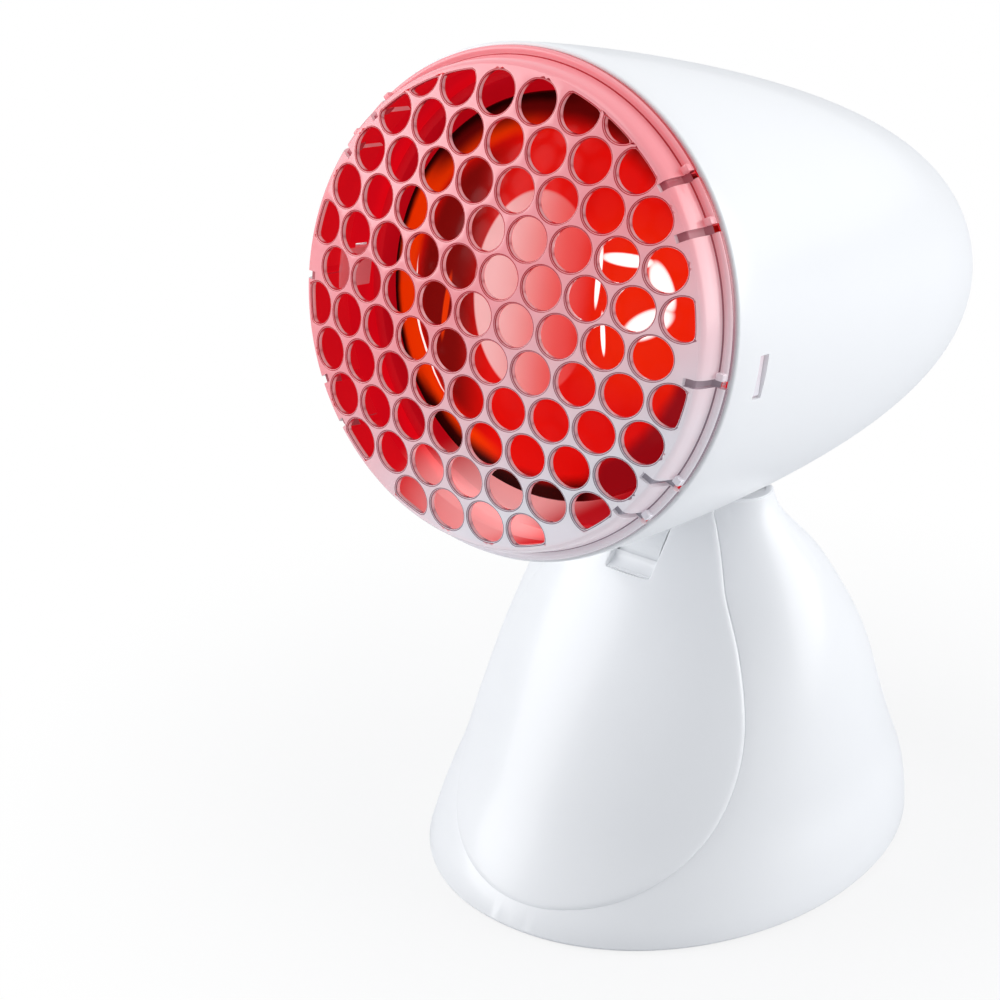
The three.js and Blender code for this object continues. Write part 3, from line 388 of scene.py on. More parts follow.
# %% [markdown]
# Metals keep the default IOR: their colour carries the reflection. Zinc plating shows faint
# crystals, sheet aluminium shows its rolling lines, and brass and tungsten show their drawing
# marks. One grain, stretched along the way each was worked, gives all of these. The glazed
# porcelain of the terminals and the lampholder has a hard coat over a slightly uneven body.

# %% Metals and porcelain
METAL_UNEVEN = 0.08
GLAZE_CLOUD_MM = 6


def worked_metal(name, dark, light, roughness, grain_mm, stretch=(1, 1, 1)):
    """A metal whose grain is stretched along the way it was rolled or drawn."""
    material, tree, principled, place = finish(name, Metallic=1.0)
    along = add(tree, "ShaderNodeMapping", {"Vector": place, "Scale": stretch}).outputs[0]
    grain = noise_of(tree, along, grain_mm, 3.0)
    tinted(tree, principled, grain, dark, light)
    roughened(tree, principled, grain, roughness - METAL_UNEVEN, roughness + METAL_UNEVEN)
    bumped(tree, principled, grain, 0.01, 0.5)
    return material


def glazed_porcelain():
    material, tree, principled, place = finish("porcelain_glazed", IOR=1.52, Coat_Weight=0.6)
    cloud = noise_of(tree, place, GLAZE_CLOUD_MM)
    tinted(tree, principled, cloud, "#E6E0D3", "#F1EDE3")
    roughened(tree, principled, cloud, 0.16, 0.26)
    bumped(tree, principled, cloud, 0.05, 0.4)
    return material


ROLLED, DRAWN, STAMPED = (1, 0.05, 1), (0.1, 1, 1), (0.1, 1, 1)
zinc_steel = worked_metal("steel_zinc_plated", "#A9AEB3", "#C6CACD", 0.34, 1.5)
rolled_aluminium = worked_metal("aluminium_sheet_rolled", "#CFD1D3", "#E2E3E4", 0.28, 0.6, ROLLED)
stamped_brass = worked_metal("brass_stamped", "#B88A3E", "#D0A556", 0.3, 0.8, STAMPED)
drawn_tungsten = worked_metal("tungsten_wire_drawn", "#5F5C58", "#77736D", 0.4, 0.3, DRAWN)
silvered_glass = worked_metal("glass_aluminised", "#DADCDD", "#ECEDEE", 0.12, 4.0)
porcelain = glazed_porcelain()
print("metals:", *[m.name for m in (zinc_steel, rolled_aluminium, stamped_brass, drawn_tungsten)])

# %% [markdown]
# The bulb's front is pressed glass with a red stain fired into it. What the eye sees in it is the
# aluminised bowl behind: a bright orange arc at the edge, dark bands where the bowl turns away,
# and soft white highlights. Tracing that through two layers of glass is slow and noisy, so these
# reflections, shades and highlights are painted into the glass itself, as patches with soft edges.
# They are placed in the bulb's own frame, in shares of its radius, and turn with the bulb. First
# come the masks that such patches are made of.

# %% Soft masks
def maths(tree, operation, one, two=0.0):
    return add(tree, "ShaderNodeMath", {0: one, 1: two}, operation=operation).outputs[0]


def dot(tree, vector, aim):
    return add(tree, "ShaderNodeVectorMath", {0: vector, 1: aim},
               operation="DOT_PRODUCT").outputs["Value"]


def soft_step(tree, value, start, end):
    """0 before the start and 1 after the end, with a soft change between."""
    return add(tree, "ShaderNodeMapRange", {"Value": value, "From Min": start, "From Max": end},
               interpolation_type="SMOOTHSTEP").outputs[0]


def both(tree, *masks):
    """Where all the masks hold."""
    result = masks[0]
    for mask in masks[1:]:
        result = maths(tree, "MULTIPLY", result, mask)
    return result


def weighed(tree, one, one_share, two, two_share):
    """The sum of two values, each times its share. A share may be a socket too."""
    return maths(tree, "ADD", maths(tree, "MULTIPLY", one, one_share),
                 maths(tree, "MULTIPLY", two, two_share))


def patch(tree, across, up, middle, size, turn, soft):
    """A soft-edged ellipse, turned by an angle in degrees."""
    c, s = math.cos(math.radians(turn)), math.sin(math.radians(turn))
    x = maths(tree, "SUBTRACT", across, middle[0])
    z = maths(tree, "SUBTRACT", up, middle[1])
    long = weighed(tree, x, c / size[0], z, s / size[0])
    short = weighed(tree, x, -s / size[1], z, c / size[1])
    away = weighed(tree, long, long, short, short)
    return soft_step(tree, away, 1 + soft, 1 - soft)


# %% [markdown]
# The glass is built up like a painting, from the back to the front: the red stain, the painted
# reflections and shade where the bowl turns away, the pale disc of a painted reflection in the
# middle, and the painted white highlights on top. The highlights glow a little, so they stay
# brighter than the red, as they are on the bulb.

# %% Red glass and its painted reflections
BULB_AT = HEAD_TO_WORLD @ Vector((0, BULB_BEHIND_GRILLE, 0))
STAIN_FLOW_MM = 14
STAIN_WANDER = 0.05
STAIN_GLOW = 0.3
HIGHLIGHT_GLOW = (2.6, 2.4, 2.3, 1)
# (middle, half sizes, turn in degrees) of the painted highlights, in shares of the bulb's radius
HIGHLIGHT_SHAPES = [
    ((0.47, 0.31), (0.13, 0.03), 4), ((0.66, 0.22), (0.12, 0.05), -60),
    ((0.62, 0.03), (0.13, 0.06), 35), ((0.335, 0.2), (0.14, 0.014), 93),
    ((0.4, -0.06), (0.1, 0.012), 100),
]


def red_glass_with_painted_reflections():
    material, tree, principled, place = finish(
        "red_glass_pressed_painted_reflections", IOR=1.5, Emission_Strength=STAIN_GLOW, Specular_IOR_Level=0.05)
    own = add(tree, "ShaderNodeMapping", {
        "Vector": place, "Location": BULB_AT, "Rotation": (-REST_TILT, 0, 0),
        "Scale": (BULB_RADIUS * MM,) * 3,
    }, vector_type="TEXTURE").outputs[0]
    split = add(tree, "ShaderNodeSeparateXYZ", {0: own})
    across, up = split.outputs["X"], split.outputs["Z"]
    flow = noise_of(tree, place, STAIN_FLOW_MM)
    wander = spread(tree, flow, -STAIN_WANDER, STAIN_WANDER)
    out = maths(tree, "SQRT", weighed(tree, across, across, up, up))
    out = maths(tree, "ADD", out, maths(tree, "MULTIPLY", wander, 0.4))
    level = maths(tree, "ABSOLUTE", maths(tree, "SUBTRACT", up, 0.1))

    def step(value, start, end):
        return soft_step(tree, value, start, end)

    colour = blend(tree, flow, "#D80E0C", "#EC140C")
    # Painted reflections and painted shade of the bowl, laid over the red stain
    for masks, shade in (
            ((step(across, 0.1, 0.5), step(level, 0.6, 0.2)), "#F22A0A"),
            ((step(across, -0.2, -0.5), step(out, 0.86, 0.72)), "#7E100E"),
            ((patch(tree, across, up, (-0.56, -0.15), (0.16, 0.02), 85, 0.6),), "#F04008"),
            ((step(out, 0.78, 0.85), step(across, -0.05, -0.4)), "#F84400"),
            ((step(out, 0.8, 0.93), step(up, 0.35, 0.6)), "#5C0A0A"),
            ((step(out, 0.84, 0.94), step(up, -0.45, -0.7)), "#2E0504"),
            ((step(out, 0.93, 0.98), step(across, 0.1, -0.2)), "#1C0303"),
            ((step(out, 0.78, 0.86), step(up, 0.0, -0.16), step(across, 0.3, 0.45)), "#93101A"),
    ):
        colour = blend(tree, both(tree, *masks), colour, shade)
    # A painted reflection of a large soft light: the pale disc in the middle
    reflection_disc = both(tree, patch(tree, across, up, (-0.02, 0.04), (0.36, 0.5), 0, 0.04),
                step(across, 0.34, 0.16))
    reflection_colour = blend(tree, step(across, -0.3, 0.2), "#F8C6C4", "#EE5854")
    colour = blend(tree, reflection_disc, colour, reflection_colour)
    # Painted white highlights, one along the left rim, which also glow a little
    rim_highlight = patch(tree, out, up, (0.81, -0.3), (0.008, 0.3), 0, 0.5)
    painted_highlights = both(tree, rim_highlight, step(across, 0, -0.1))
    for middle, size, turn in HIGHLIGHT_SHAPES:
        shape = patch(tree, across, up, middle, size, turn, 0.35)
        painted_highlights = maths(tree, "MAXIMUM", painted_highlights, shape)
    colour = blend(tree, painted_highlights, colour, "#FFF4F0")
    tree.links.new(colour, principled.inputs["Base Color"])
    glow = blend(tree, painted_highlights, colour, HIGHLIGHT_GLOW)
    tree.links.new(glow, principled.inputs["Emission Color"])
    roughened(tree, principled, flow, 0.1, 0.16)
    bumped(tree, principled, flow, 0.1, 0.3)
    return material


red_glass = red_glass_with_painted_reflections()
print("red glass nodes:", len(red_glass.node_tree.nodes))

# %% [markdown]
# The inside of the hood is the same white plastic, and the shield is bright sheet, but all the
# light that reaches them has been through the red glass. So that red light is painted into their
# finish, a deep red with a little painted glow, and only the hood's lowest part, which the room
# lights through the grille, is painted a pale pink. A real red light inside would need many more
# samples to be free of noise.

# %% Red light inside
INSIDE_CLOUD_MM = 40
ROOM_LIGHT_HEIGHTS = (-56, -68)
ROOM_LIGHT_ACROSS = (14, -6)


def with_painted_glow(tree, principled, colour):
    """The same colour for what the surface reflects and for its painted glow."""
    for socket in ("Base Color", "Emission Color"):
        tree.links.new(colour, principled.inputs[socket])


def lit_red(name, dark, light, level):
    """A pale surface that only the bulb's red light reaches. That light is painted in, with a glow.
    """
    material, tree, principled, place = finish(
        name, IOR=1.5, Emission_Strength=level, Specular_IOR_Level=0.2)
    cloud = noise_of(tree, place, INSIDE_CLOUD_MM)
    split = add(tree, "ShaderNodeSeparateXYZ", {0: place})
    # Painted light: the pale pink low part, where the room lights the hood through the grille
    low_from, low_to = [BULB_AT.z + height * MM for height in ROOM_LIGHT_HEIGHTS]
    right_from, right_to = [x * MM for x in ROOM_LIGHT_ACROSS]
    low = both(tree, soft_step(tree, split.outputs["Z"], low_from, low_to),
               soft_step(tree, split.outputs["X"], right_from, right_to))
    with_painted_glow(tree, principled, blend(tree, low, blend(tree, cloud, dark, light), "#F2B2B2"))
    roughened(tree, principled, cloud, 0.45, 0.55)
    bumped(tree, principled, cloud, 0.2, 0.3)
    return material


red_lit_white = lit_red("white_abs_in_red_light", "#B8061A", "#DC0A1C", 0.5)
red_lit_sheet = lit_red("aluminium_sheet_in_red_light", "#A80618", "#D00A1A", 0.5)

# %% [markdown]
# The grille is clear polycarbonate, which has no colour of its own. It stands in the bulb's red
# light, strongest at its upper left, and that light is painted into it: its faces are painted pink
# there and almost white at the lower right, with a painted glow. The same painted blend from red
# to clear runs through its finishes: the open faces, the rolled edges, painted dark as clear
# plastic looks there, the slits, and the walls of the holes, with a painted soft white highlight
# on the side that faces up and to the lamp's left.

# %% Clear plastic in painted red light
GRILLE_PAINTED_GLOW = 0.14
RED_LIGHT_AXIS = (-0.55, 0.0, 0.8)
RED_LIGHT_SPAN = (-54, 2)
FLOW_MM = 1.2
WALL_HIGHLIGHT_FROM = [(0.99, 0, -0.12), (0.62, 0.15, 0.77)]


def painted_red_light_share(tree, place):
    """How much of the bulb's red light is painted into the plastic here, from 0 to 1."""
    middle = add(tree, "ShaderNodeMapping", {
        "Vector": place, "Location": (0, 0, -grille_at.z)}).outputs[0]
    return add(tree, "ShaderNodeMapRange", {
        "Value": dot(tree, middle, RED_LIGHT_AXIS),
        "From Min": RED_LIGHT_SPAN[0] * MM, "From Max": RED_LIGHT_SPAN[1] * MM}).outputs[0]


def painted_wall_highlights(tree):
    """Painted highlight where a hole's wall faces the light, set only by how it lies in the lamp.
    """
    lies = add(tree, "ShaderNodeTexCoord").outputs["Normal"]
    one, two = [soft_step(tree, dot(tree, lies, aim), 0.78, 0.97) for aim in WALL_HIGHLIGHT_FROM]
    return maths(tree, "MAXIMUM", one, two)


def polycarbonate(name, clear, red, roughness, transmission, coat, lit=None):
    """Clear plastic painted in the bulb's red light and glow. The lit shades are painted
    highlights.
    """
    material, tree, principled, place = finish(
        name, IOR=1.45, Transmission_Weight=transmission, Coat_Weight=coat, Coat_Roughness=0.05,
        Emission_Strength=GRILLE_PAINTED_GLOW)
    share = painted_red_light_share(tree, place)
    colour = blend(tree, share, clear, red)
    if lit:
        colour = blend(tree, painted_wall_highlights(tree), colour, blend(tree, share, *lit))
    with_painted_glow(tree, principled, colour)
    flow = noise_of(tree, place, FLOW_MM, 3.0)
    roughened(tree, principled, flow, roughness, roughness + 0.08)
    bumped(tree, principled, flow, 0.01, 0.3)
    return material


FACE, EDGE, HOLE_WALL, INNER, SLIT_SHADE = range(5)
# Painted light: red cast on faces, dark rolled edges, wall highlights, and shade in the slits
CLEAR_PLASTIC = [
    polycarbonate("polycarbonate_face_painted_red_light", "#E9E6EC", "#F49AA1", 0.2, 0.15, 0.3),
    polycarbonate("polycarbonate_rolled_edge_painted_dark", "#85727E", "#B01424", 0.2, 0.0, 0.3),
    polycarbonate("polycarbonate_hole_wall_painted_highlights", "#9C95A2", "#A83E50", 0.12, 0.1, 1.0,
                  ("#F1EEF3", "#F9DEE2")),
    lit_red("polycarbonate_in_red_light", "#C00A1C", "#E01220", 0.45),
    polycarbonate("polycarbonate_slit_painted_shade", "#98929C", "#B4505C", 0.3, 0.0, 0.1),
]
print("finishes of the clear plastic:", len(CLEAR_PLASTIC))

# %% [markdown]
# The hood is one long moulding. Its outline swells from a straight rim to a blunt end, and its
# axis sinks a little on the way, so the crown looks level. A scaled sphere would be too round at
# the rim and too sharp behind, so the outline is a formula with two powers, one for the fullness
# and one for the blunt end. It is a lathe with a real wall and a rounded lip, and a slot in each
# side of the rim takes a latch of the grille.

# %% Hood outline
HOOD_SIDES = 144
HOOD_STEPS = 64
LIP_ROUND = 0.9
LIP_STEPS = 4


def hood_radius(depth, inset=0.0):
    share = min(max(depth / (HOOD_LENGTH - inset), 0), 1)
    return (HOOD_RADIUS - inset) * (1 - share ** HOOD_FULLNESS) ** (1 / HOOD_BLUNTNESS)


def hood_line(inset, start):
    """The hood's outline from a depth behind the rim to the pole at its end."""
    line = []
    for i in range(HOOD_STEPS + 1):
        depth = start + (HOOD_LENGTH - inset - start) * (1 - (1 - i / HOOD_STEPS) ** 3)
        line.append((0.0 if i == HOOD_STEPS else hood_radius(depth, inset), depth))
    return line


def lip_quarter(radius):
    """A quarter circle of the lip in the outline, from its outer side to its front."""
    turns = [math.radians(-90 * k / LIP_STEPS) for k in range(LIP_STEPS + 1)]
    return [(radius + LIP_ROUND * math.cos(t), LIP_ROUND + LIP_ROUND * math.sin(t)) for t in turns]


outer = hood_line(0, LIP_ROUND)
inner = hood_line(HOOD_WALL, LIP_ROUND)
lip_in, lip_out = inner[0][0] + LIP_ROUND, outer[0][0] - LIP_ROUND
inner_lip = [(2 * lip_in - radius, depth) for radius, depth in lip_quarter(lip_in)]
outline = outer + inner[::-1] + inner_lip[1:] + lip_quarter(lip_out)[::-1][:-1]
points, faces = lathe(outline, HOOD_SIDES)
print("hood's lip, mm:", round(lip_in, 1), "to", round(lip_out, 1))

# %% [markdown]
# The lathe's faces that lie inside get the red-lit finish. The points are then lowered with the
# axis, and the latch slots are cut.

# %% Hood
SLOT_SIZE = (40, 5, 13)
SLOT_BEHIND_RIM = 15.8
SLOT_DROP = 5
DEEP_IN_WALL = 0.7
HOOD_TO_WORLD = moved(HEAD_TO_WORLD, 0, RIM_BEHIND_GRILLE, 0)


def sunk(points, rim_depth=0.0):
    """Points lowered as the hood's axis sinks behind its rim."""
    return [(x, y, z - HOOD_DROP * (y - rim_depth) / HOOD_LENGTH) for x, y, z in points]


def inside_hood(face):
    middle = sum((Vector(points[i]) for i in face), Vector()) / len(face)
    return math.hypot(middle.x, middle.z) < hood_radius(middle.y, HOOD_WALL * DEEP_IN_WALL)


hood_finishes = [gloss_white, red_lit_white]
finish_numbers = [int(inside_hood(face)) for face in faces]
hood_mesh = mesh_from("hood", sunk(points), faces, HOOD_TO_WORLD, finish_numbers)
slots = [block(SLOT_SIZE, moved(HOOD_TO_WORLD, side * HOOD_RADIUS, SLOT_BEHIND_RIM, -SLOT_DROP))
         for side in (-1, 1)]
piece("hood", carved(hood_mesh, slots, hood_finishes), "head",
      hood_finishes, ["hood_shell"])

# %% [markdown]
# The grille is a domed plate of clear plastic with round holes in rows, set in a ring that plugs
# the hood. Each web is only 1.8 mm wide, so the rounding of the holes' edges is most of what
# shows. Booleans of a hundred cylinders would leave poor faces there. So the outline of each hole
# is computed, the plate's flat faces are filled by a triangulation between the outlines, and every
# hole's wall is a stack of rings. First come the holes' places and outlines.

# %% Holes
HOLE_POINTS = 40
EDGE_ROUND = 0.6
SLIVERS_ABOVE = 50
CORNER_SHARPNESS = 16
NEARLY = 0.98


def dome_depth(radius):
    return DOME_RADIUS - math.sqrt(DOME_RADIUS ** 2 - radius ** 2)


def hole_places():
    """Middles of the holes, row by row. More of a hole may be lost in the ring at the top."""
    pitch = HOLE_PITCH * math.sqrt(3) / 2
    most = math.ceil(FIELD_RADIUS / pitch)
    rows = range(-most, most + 1)
    spots = [((step + abs(row) % 2 / 2) * HOLE_PITCH, row * pitch)
             for row in rows for step in rows]
    return [spot for spot in spots if math.hypot(*spot)
            < FIELD_RADIUS + HOLE_RADIUS / (2 if spot[1] > SLIVERS_ABOVE else 4)]


def reach(start, angle, middle, radius):
    """How far a ray from inside a circle runs to the circle."""
    dx, dz = start[0] - middle[0], start[1] - middle[1]
    along = dx * math.cos(angle) + dz * math.sin(angle)
    return -along + math.sqrt(along ** 2 - dx ** 2 - dz ** 2 + radius ** 2)


def hole_outline(middle, grow):
    """A hole's outline grown by a distance, and stopped by the ring's wall with soft corners."""
    out = math.hypot(*middle)
    if out + HOLE_RADIUS < FIELD_RADIUS:
        start = middle
    else:
        inward = (out - HOLE_RADIUS + FIELD_RADIUS) / 2 / out
        start = (middle[0] * inward, middle[1] * inward)
    line = []
    for k in range(HOLE_POINTS):
        angle = 2 * math.pi * k / HOLE_POINTS
        own = reach(start, angle, middle, HOLE_RADIUS + grow)
        wall = reach(start, angle, (0, 0), FIELD_RADIUS + grow)
        far = (own ** -CORNER_SHARPNESS + wall ** -CORNER_SHARPNESS) ** (-1 / CORNER_SHARPNESS)
        line.append((start[0] + far * math.cos(angle), start[1] + far * math.sin(angle)))
    return line


def in_a_hole(flat, spots):
    if flat.length > FIELD_RADIUS + EDGE_ROUND:
        return False
    grown = HOLE_RADIUS + EDGE_ROUND * NEARLY
    return any((flat - Vector(spot)).length < grown for spot in spots)


print("holes:", len(hole_places()))

# %% [markdown]
# The plate has a front and a back face with the same triangles, and a wall in each hole between
# them. Down a wall, the outline first shrinks round the rolled edge, then runs straight, and grows
# again at the back. Each band of faces has the number of its finish, so the rolled edge can have
# its painted dark lines and the wall its painted highlight.

# %% Grille plate
RING_POINTS = 240
RING_START = FIELD_RADIUS + 0.75
# (how far the outline grows, depth, finish of the band above) down a hole's wall to the back
WALL_LEVELS = [
    (0.3, 0.06, EDGE), (0.18, 0.16, FACE), (0, 0.5, EDGE), (0, 0.6, HOLE_WALL),
    (0, 1.7, HOLE_WALL), (0.1, 2.0, HOLE_WALL), (0.3, 2.15, HOLE_WALL),
    (EDGE_ROUND, GRILLE_THICKNESS, HOLE_WALL),
]


def circle(radius):
    turns = [2 * math.pi * k / RING_POINTS for k in range(RING_POINTS)]
    return [(radius * math.cos(turn), radius * math.sin(turn)) for turn in turns]


def closed_band(one, two):
    """Faces between two closed rings of points."""
    return [(one[k - 1], one[k], two[k], two[k - 1]) for k in range(len(one))]


def flat_triangles(spots, fences):
    """The middle and the corners of each triangle between flat spots. None crosses a fence."""
    filled = delaunay_2d_cdt(spots, fences, [], 0, 1e-6)
    found, triangles, origin = filled[0], filled[2], filled[3]
    for triangle in triangles:
        middle = sum((found[i] for i in triangle), Vector((0, 0))) / 3
        yield middle, [origin[i][0] for i in triangle]


def grille_plate():
    points, faces, numbers = [], [], []

    def put(flat, depth):
        points.append((flat[0], dome_depth(math.hypot(*flat)) + depth, flat[1]))
        return len(points) - 1

    flat, edges = circle(RING_START), [(k, (k + 1) % RING_POINTS) for k in range(RING_POINTS)]
    spots = hole_places()
    for spot in spots:
        first = len(flat)
        flat += hole_outline(spot, EDGE_ROUND)
        edges += [(first + k, first + (k + 1) % HOLE_POINTS) for k in range(HOLE_POINTS)]
    top = [put(p, 0) for p in flat]
    bottom = [put(p, GRILLE_THICKNESS) for p in flat]
    for number, spot in enumerate(spots):
        first = RING_POINTS + number * HOLE_POINTS
        rings = [top[first:first + HOLE_POINTS]]
        for grow, depth, _ in WALL_LEVELS[:-1]:
            rings.append([put(p, depth) for p in hole_outline(spot, grow)])
        rings.append(bottom[first:first + HOLE_POINTS])
        for one, two, level in zip(rings, rings[1:], WALL_LEVELS):
            faces += closed_band(one, two)
            numbers += [level[2]] * HOLE_POINTS
    for middle, corners in flat_triangles([Vector(p) for p in flat], edges):
        if middle.length < RING_START and not in_a_hole(middle, spots):
            faces += [[top[i] for i in corners], [bottom[i] for i in corners]]
            numbers += [FACE, FACE]
    return points, faces, numbers, top[:RING_POINTS], bottom[:RING_POINTS]


# %% [markdown]
# Round the plate runs the ring: a rolled shoulder, a cone down to a thin flange that covers the
# hood's rim, and a spigot inside the hood. It grows from the plate's outer outline, ring by ring,
# so plate and ring are one skin, with painted dark lines at its rolled edges. Five slits on each
# side make spring tongues of it. They are cut through both, with walls painted dark like the
# holes'.

# %% Grille ring
RING_TOP = dome_depth(FIELD_RADIUS)
FLANGE_BACK = RIM_BEHIND_GRILLE - 0.3
SPIGOT_RADIUS = 71.8
FLANGE_RADIUS = 74.4
# (radius, depth, finish of the band before it) from the plate's front, round the flange and the
# spigot, to the plate's back
RING_OUTLINE = [
    (69.6, RING_TOP + 0.4, FACE), (70.3, RING_TOP + 1.2, FACE),
    (70.8, RING_TOP + 2.6, FACE), (71.2, RING_TOP + 5, FACE),
    (71.5, RING_TOP + 8.4, FACE), (71.7, FLANGE_BACK - 2.6, FACE),
    (72.0, FLANGE_BACK - 2.1, EDGE), (72.5, FLANGE_BACK - 2.1, FACE),
    (73.0, FLANGE_BACK - 2.4, FACE), (73.6, FLANGE_BACK - 2.4, FACE),
    (74.1, FLANGE_BACK - 2.1, FACE), (FLANGE_RADIUS, FLANGE_BACK - 1.6, FACE),
    (FLANGE_RADIUS, FLANGE_BACK - 0.4, EDGE), (74.1, FLANGE_BACK, EDGE),
    (SPIGOT_RADIUS, FLANGE_BACK, FACE), (SPIGOT_RADIUS, FLANGE_BACK + 8.0, FACE),
    (71.5, FLANGE_BACK + 8.4, FACE), (70.6, FLANGE_BACK + 8.4, FACE),
    (70.4, FLANGE_BACK + 8.1, INNER), (70.3, FLANGE_BACK - 1.8, INNER),
    (69.9, RING_TOP + 5.0, INNER), (69.5, RING_TOP + 3.2, INNER),
    (RING_START, RING_TOP + GRILLE_THICKNESS + 0.1, INNER),
]
# (turn above the level in degrees, radius where the slit starts)
SLITS = [(42.4, 67.6), (30, 66.5), (-4, 66.5), (-30.5, 66.5), (-42.4, 67.6)]
SLIT_WIDTH = 2.4
SLIT_OVERRUN = 2


def round_the_axis(side, turn, radius, depth):
    """A place on the ring: at a turn above the level, on one side, facing outwards."""
    angle = -math.radians(turn) if side > 0 else math.pi + math.radians(turn)
    return moved(HEAD_TO_WORLD @ Matrix.Rotation(angle, 4, "Y"), radius, depth, 0)


points, faces, numbers, ring_top, ring_bottom = grille_plate()
last = ring_top
for radius, depth, number in RING_OUTLINE:
    ring = range(len(points), len(points) + RING_POINTS)
    points += [(x, depth, z) for x, z in circle(radius)]
    faces += closed_band(last, ring)
    numbers += [number] * RING_POINTS
    last = ring
faces += closed_band(last, ring_bottom)
numbers += [FACE] * RING_POINTS
grille_mesh = mesh_from("grille", points, faces, HEAD_TO_WORLD, numbers)
slit_middle = RIM_BEHIND_GRILLE + RING_TOP - SLIT_OVERRUN
slits = [block((2 * (FLANGE_RADIUS - start), 2 * RIM_BEHIND_GRILLE, SLIT_WIDTH),
               round_the_axis(side, turn, FLANGE_RADIUS, slit_middle))
         for side in (-1, 1) for turn, start in SLITS]
slit_grille = carved(grille_mesh, slits, CLEAR_PLASTIC, HOLE_WALL)
shares = [face.material_index for face in slit_grille.polygons]
print("grille faces by finish:", [shares.count(n) for n in (FACE, EDGE, HOLE_WALL, INNER)])

# %% [markdown]
# Two latches grow back from the ring, one on each side. Their hooks sit in the hood's slots and
# hold the grille. Each slit has a thin grey sheet a little below the ring's surface, a painted
# shade for the dark seen down the slit, and a small clear hook at its outer end. All of these are
# closed forms of their own, set into the ring.

# %% Latches, hooks and slit shade sheets
LATCH_WIDTH = 12
LATCH_SHEET = 1.1
LATCH_RADIUS = 69.9
LATCH_FROM = FLANGE_BACK + 4.2
LATCH_TO = RIM_BEHIND_GRILLE + 18.6
LATCH_ROUND = 0.4
HOOK_REACH = 3.1
HOOK_ROOT = 0.7
HOOK_PLAY = 0.6
SLIT_HOOK_SIZE = (2.4, 2.2, 2.2)
SLIT_HOOK_ROUND = 0.3
SLIT_HOOK_RADIUS = 73.1
SLIT_HOOK_TURN = 1.8
SLIT_DEEP = 1.5
# how far the shade sheet is set in across rather than down, at each point of the ring's outline
SLIT_LEANS = (0, 0, 0.2, 0.5, 0.8, 0.9, 0.95, 0.95, 0.6)


def latch(side):
    arm = block((LATCH_SHEET, LATCH_TO - LATCH_FROM, LATCH_WIDTH), moved(
        HEAD_TO_WORLD, side * LATCH_RADIUS, (LATCH_FROM + LATCH_TO) / 2, -SLOT_DROP), LATCH_ROUND)
    hook = block((HOOK_REACH + HOOK_ROOT, SLOT_SIZE[1] - HOOK_PLAY, LATCH_WIDTH), moved(
        HEAD_TO_WORLD, side * (LATCH_RADIUS + HOOK_REACH / 2),
        RIM_BEHIND_GRILLE + SLOT_BEHIND_RIM, -SLOT_DROP), LATCH_ROUND)
    return [arm, hook]


def slit_hook(side, turn):
    """A small clear block at a slit's outer end, which keeps the hood's rim from the tongue."""
    place = round_the_axis(side, turn + SLIT_HOOK_TURN, SLIT_HOOK_RADIUS, FLANGE_BACK - 3)
    return block(SLIT_HOOK_SIZE, place, SLIT_HOOK_ROUND)


def slit_shade_sheet(side, turn, start):
    """A grey sheet of painted shade in the slit, following the ring's surface a little below it."""
    line = [(start, dome_depth(start)), (FIELD_RADIUS, RING_TOP)]
    line += [(radius, depth) for radius, depth, _ in RING_OUTLINE[:6]]
    line += [(73.4, FLANGE_BACK - 1.8)]
    deep = [(radius - SLIT_DEEP * lean, depth + SLIT_DEEP * (1 - lean))
            for (radius, depth), lean in zip(line, SLIT_LEANS)]
    lower = [(radius - 0.4, depth + 0.3) for radius, depth in reversed(deep)]
    half = SLIT_WIDTH / 2 + 0.1
    points, faces = prism(deep + lower, -half, half)
    points = [(radius, depth, across) for across, radius, depth in points]
    return mesh_from("slit_shade_sheet", points, faces, round_the_axis(side, turn, 0, 0),
                     [SLIT_SHADE] * len(faces))


hooks = [slit_hook(side, turn) for side in (-1, 1) for turn, _ in SLITS]
shade_sheets = [slit_shade_sheet(side, *slit) for side in (-1, 1) for slit in SLITS]
grille = together([slit_grille, *latch(-1), *latch(1), *hooks, *shade_sheets])
piece("grille", grille, "head", CLEAR_PLASTIC, ["protective_grille"])

# %% [markdown]
# The bulb is a standard 121 mm reflector bulb: a pressed front lens, a parabolic bowl with an
# aluminium mirror, and a screw cap. Lens and bowl are lathes with real glass walls, because a
# solid lump of glass would bend the light quite differently from a thin shell.

# %% Bulb
LENS_SAG = 11
LENS_POWER = 2.4
LENS_THICKNESS = 2.5
LENS_SIDES = 120
GLASS_WALL = 1.6
NECK_RADIUS = 14.2
BOWL_DEPTH = 68
BOWL_SIDES = 96
RIM_BAND = 5
CAP_LENGTH = 25
GLASS_GAP = 0.3
bulb_rim = BULB_BEHIND_GRILLE + LENS_SAG
cap_from = BULB_BEHIND_GRILLE + BULB_LENGTH - CAP_LENGTH


def lens_outline(steps=24):
    curve = [(BULB_RADIUS * i / steps, BULB_BEHIND_GRILLE + LENS_SAG * (i / steps) ** LENS_POWER)
             for i in range(steps)]
    rim = [(BULB_RADIUS - 0.5, bulb_rim - 0.55), (BULB_RADIUS - 0.1, bulb_rim + 0.2),
           (BULB_RADIUS, bulb_rim + LENS_THICKNESS)]
    inside = [(radius, depth + LENS_THICKNESS) for radius, depth in reversed(curve)]
    return curve + rim + inside


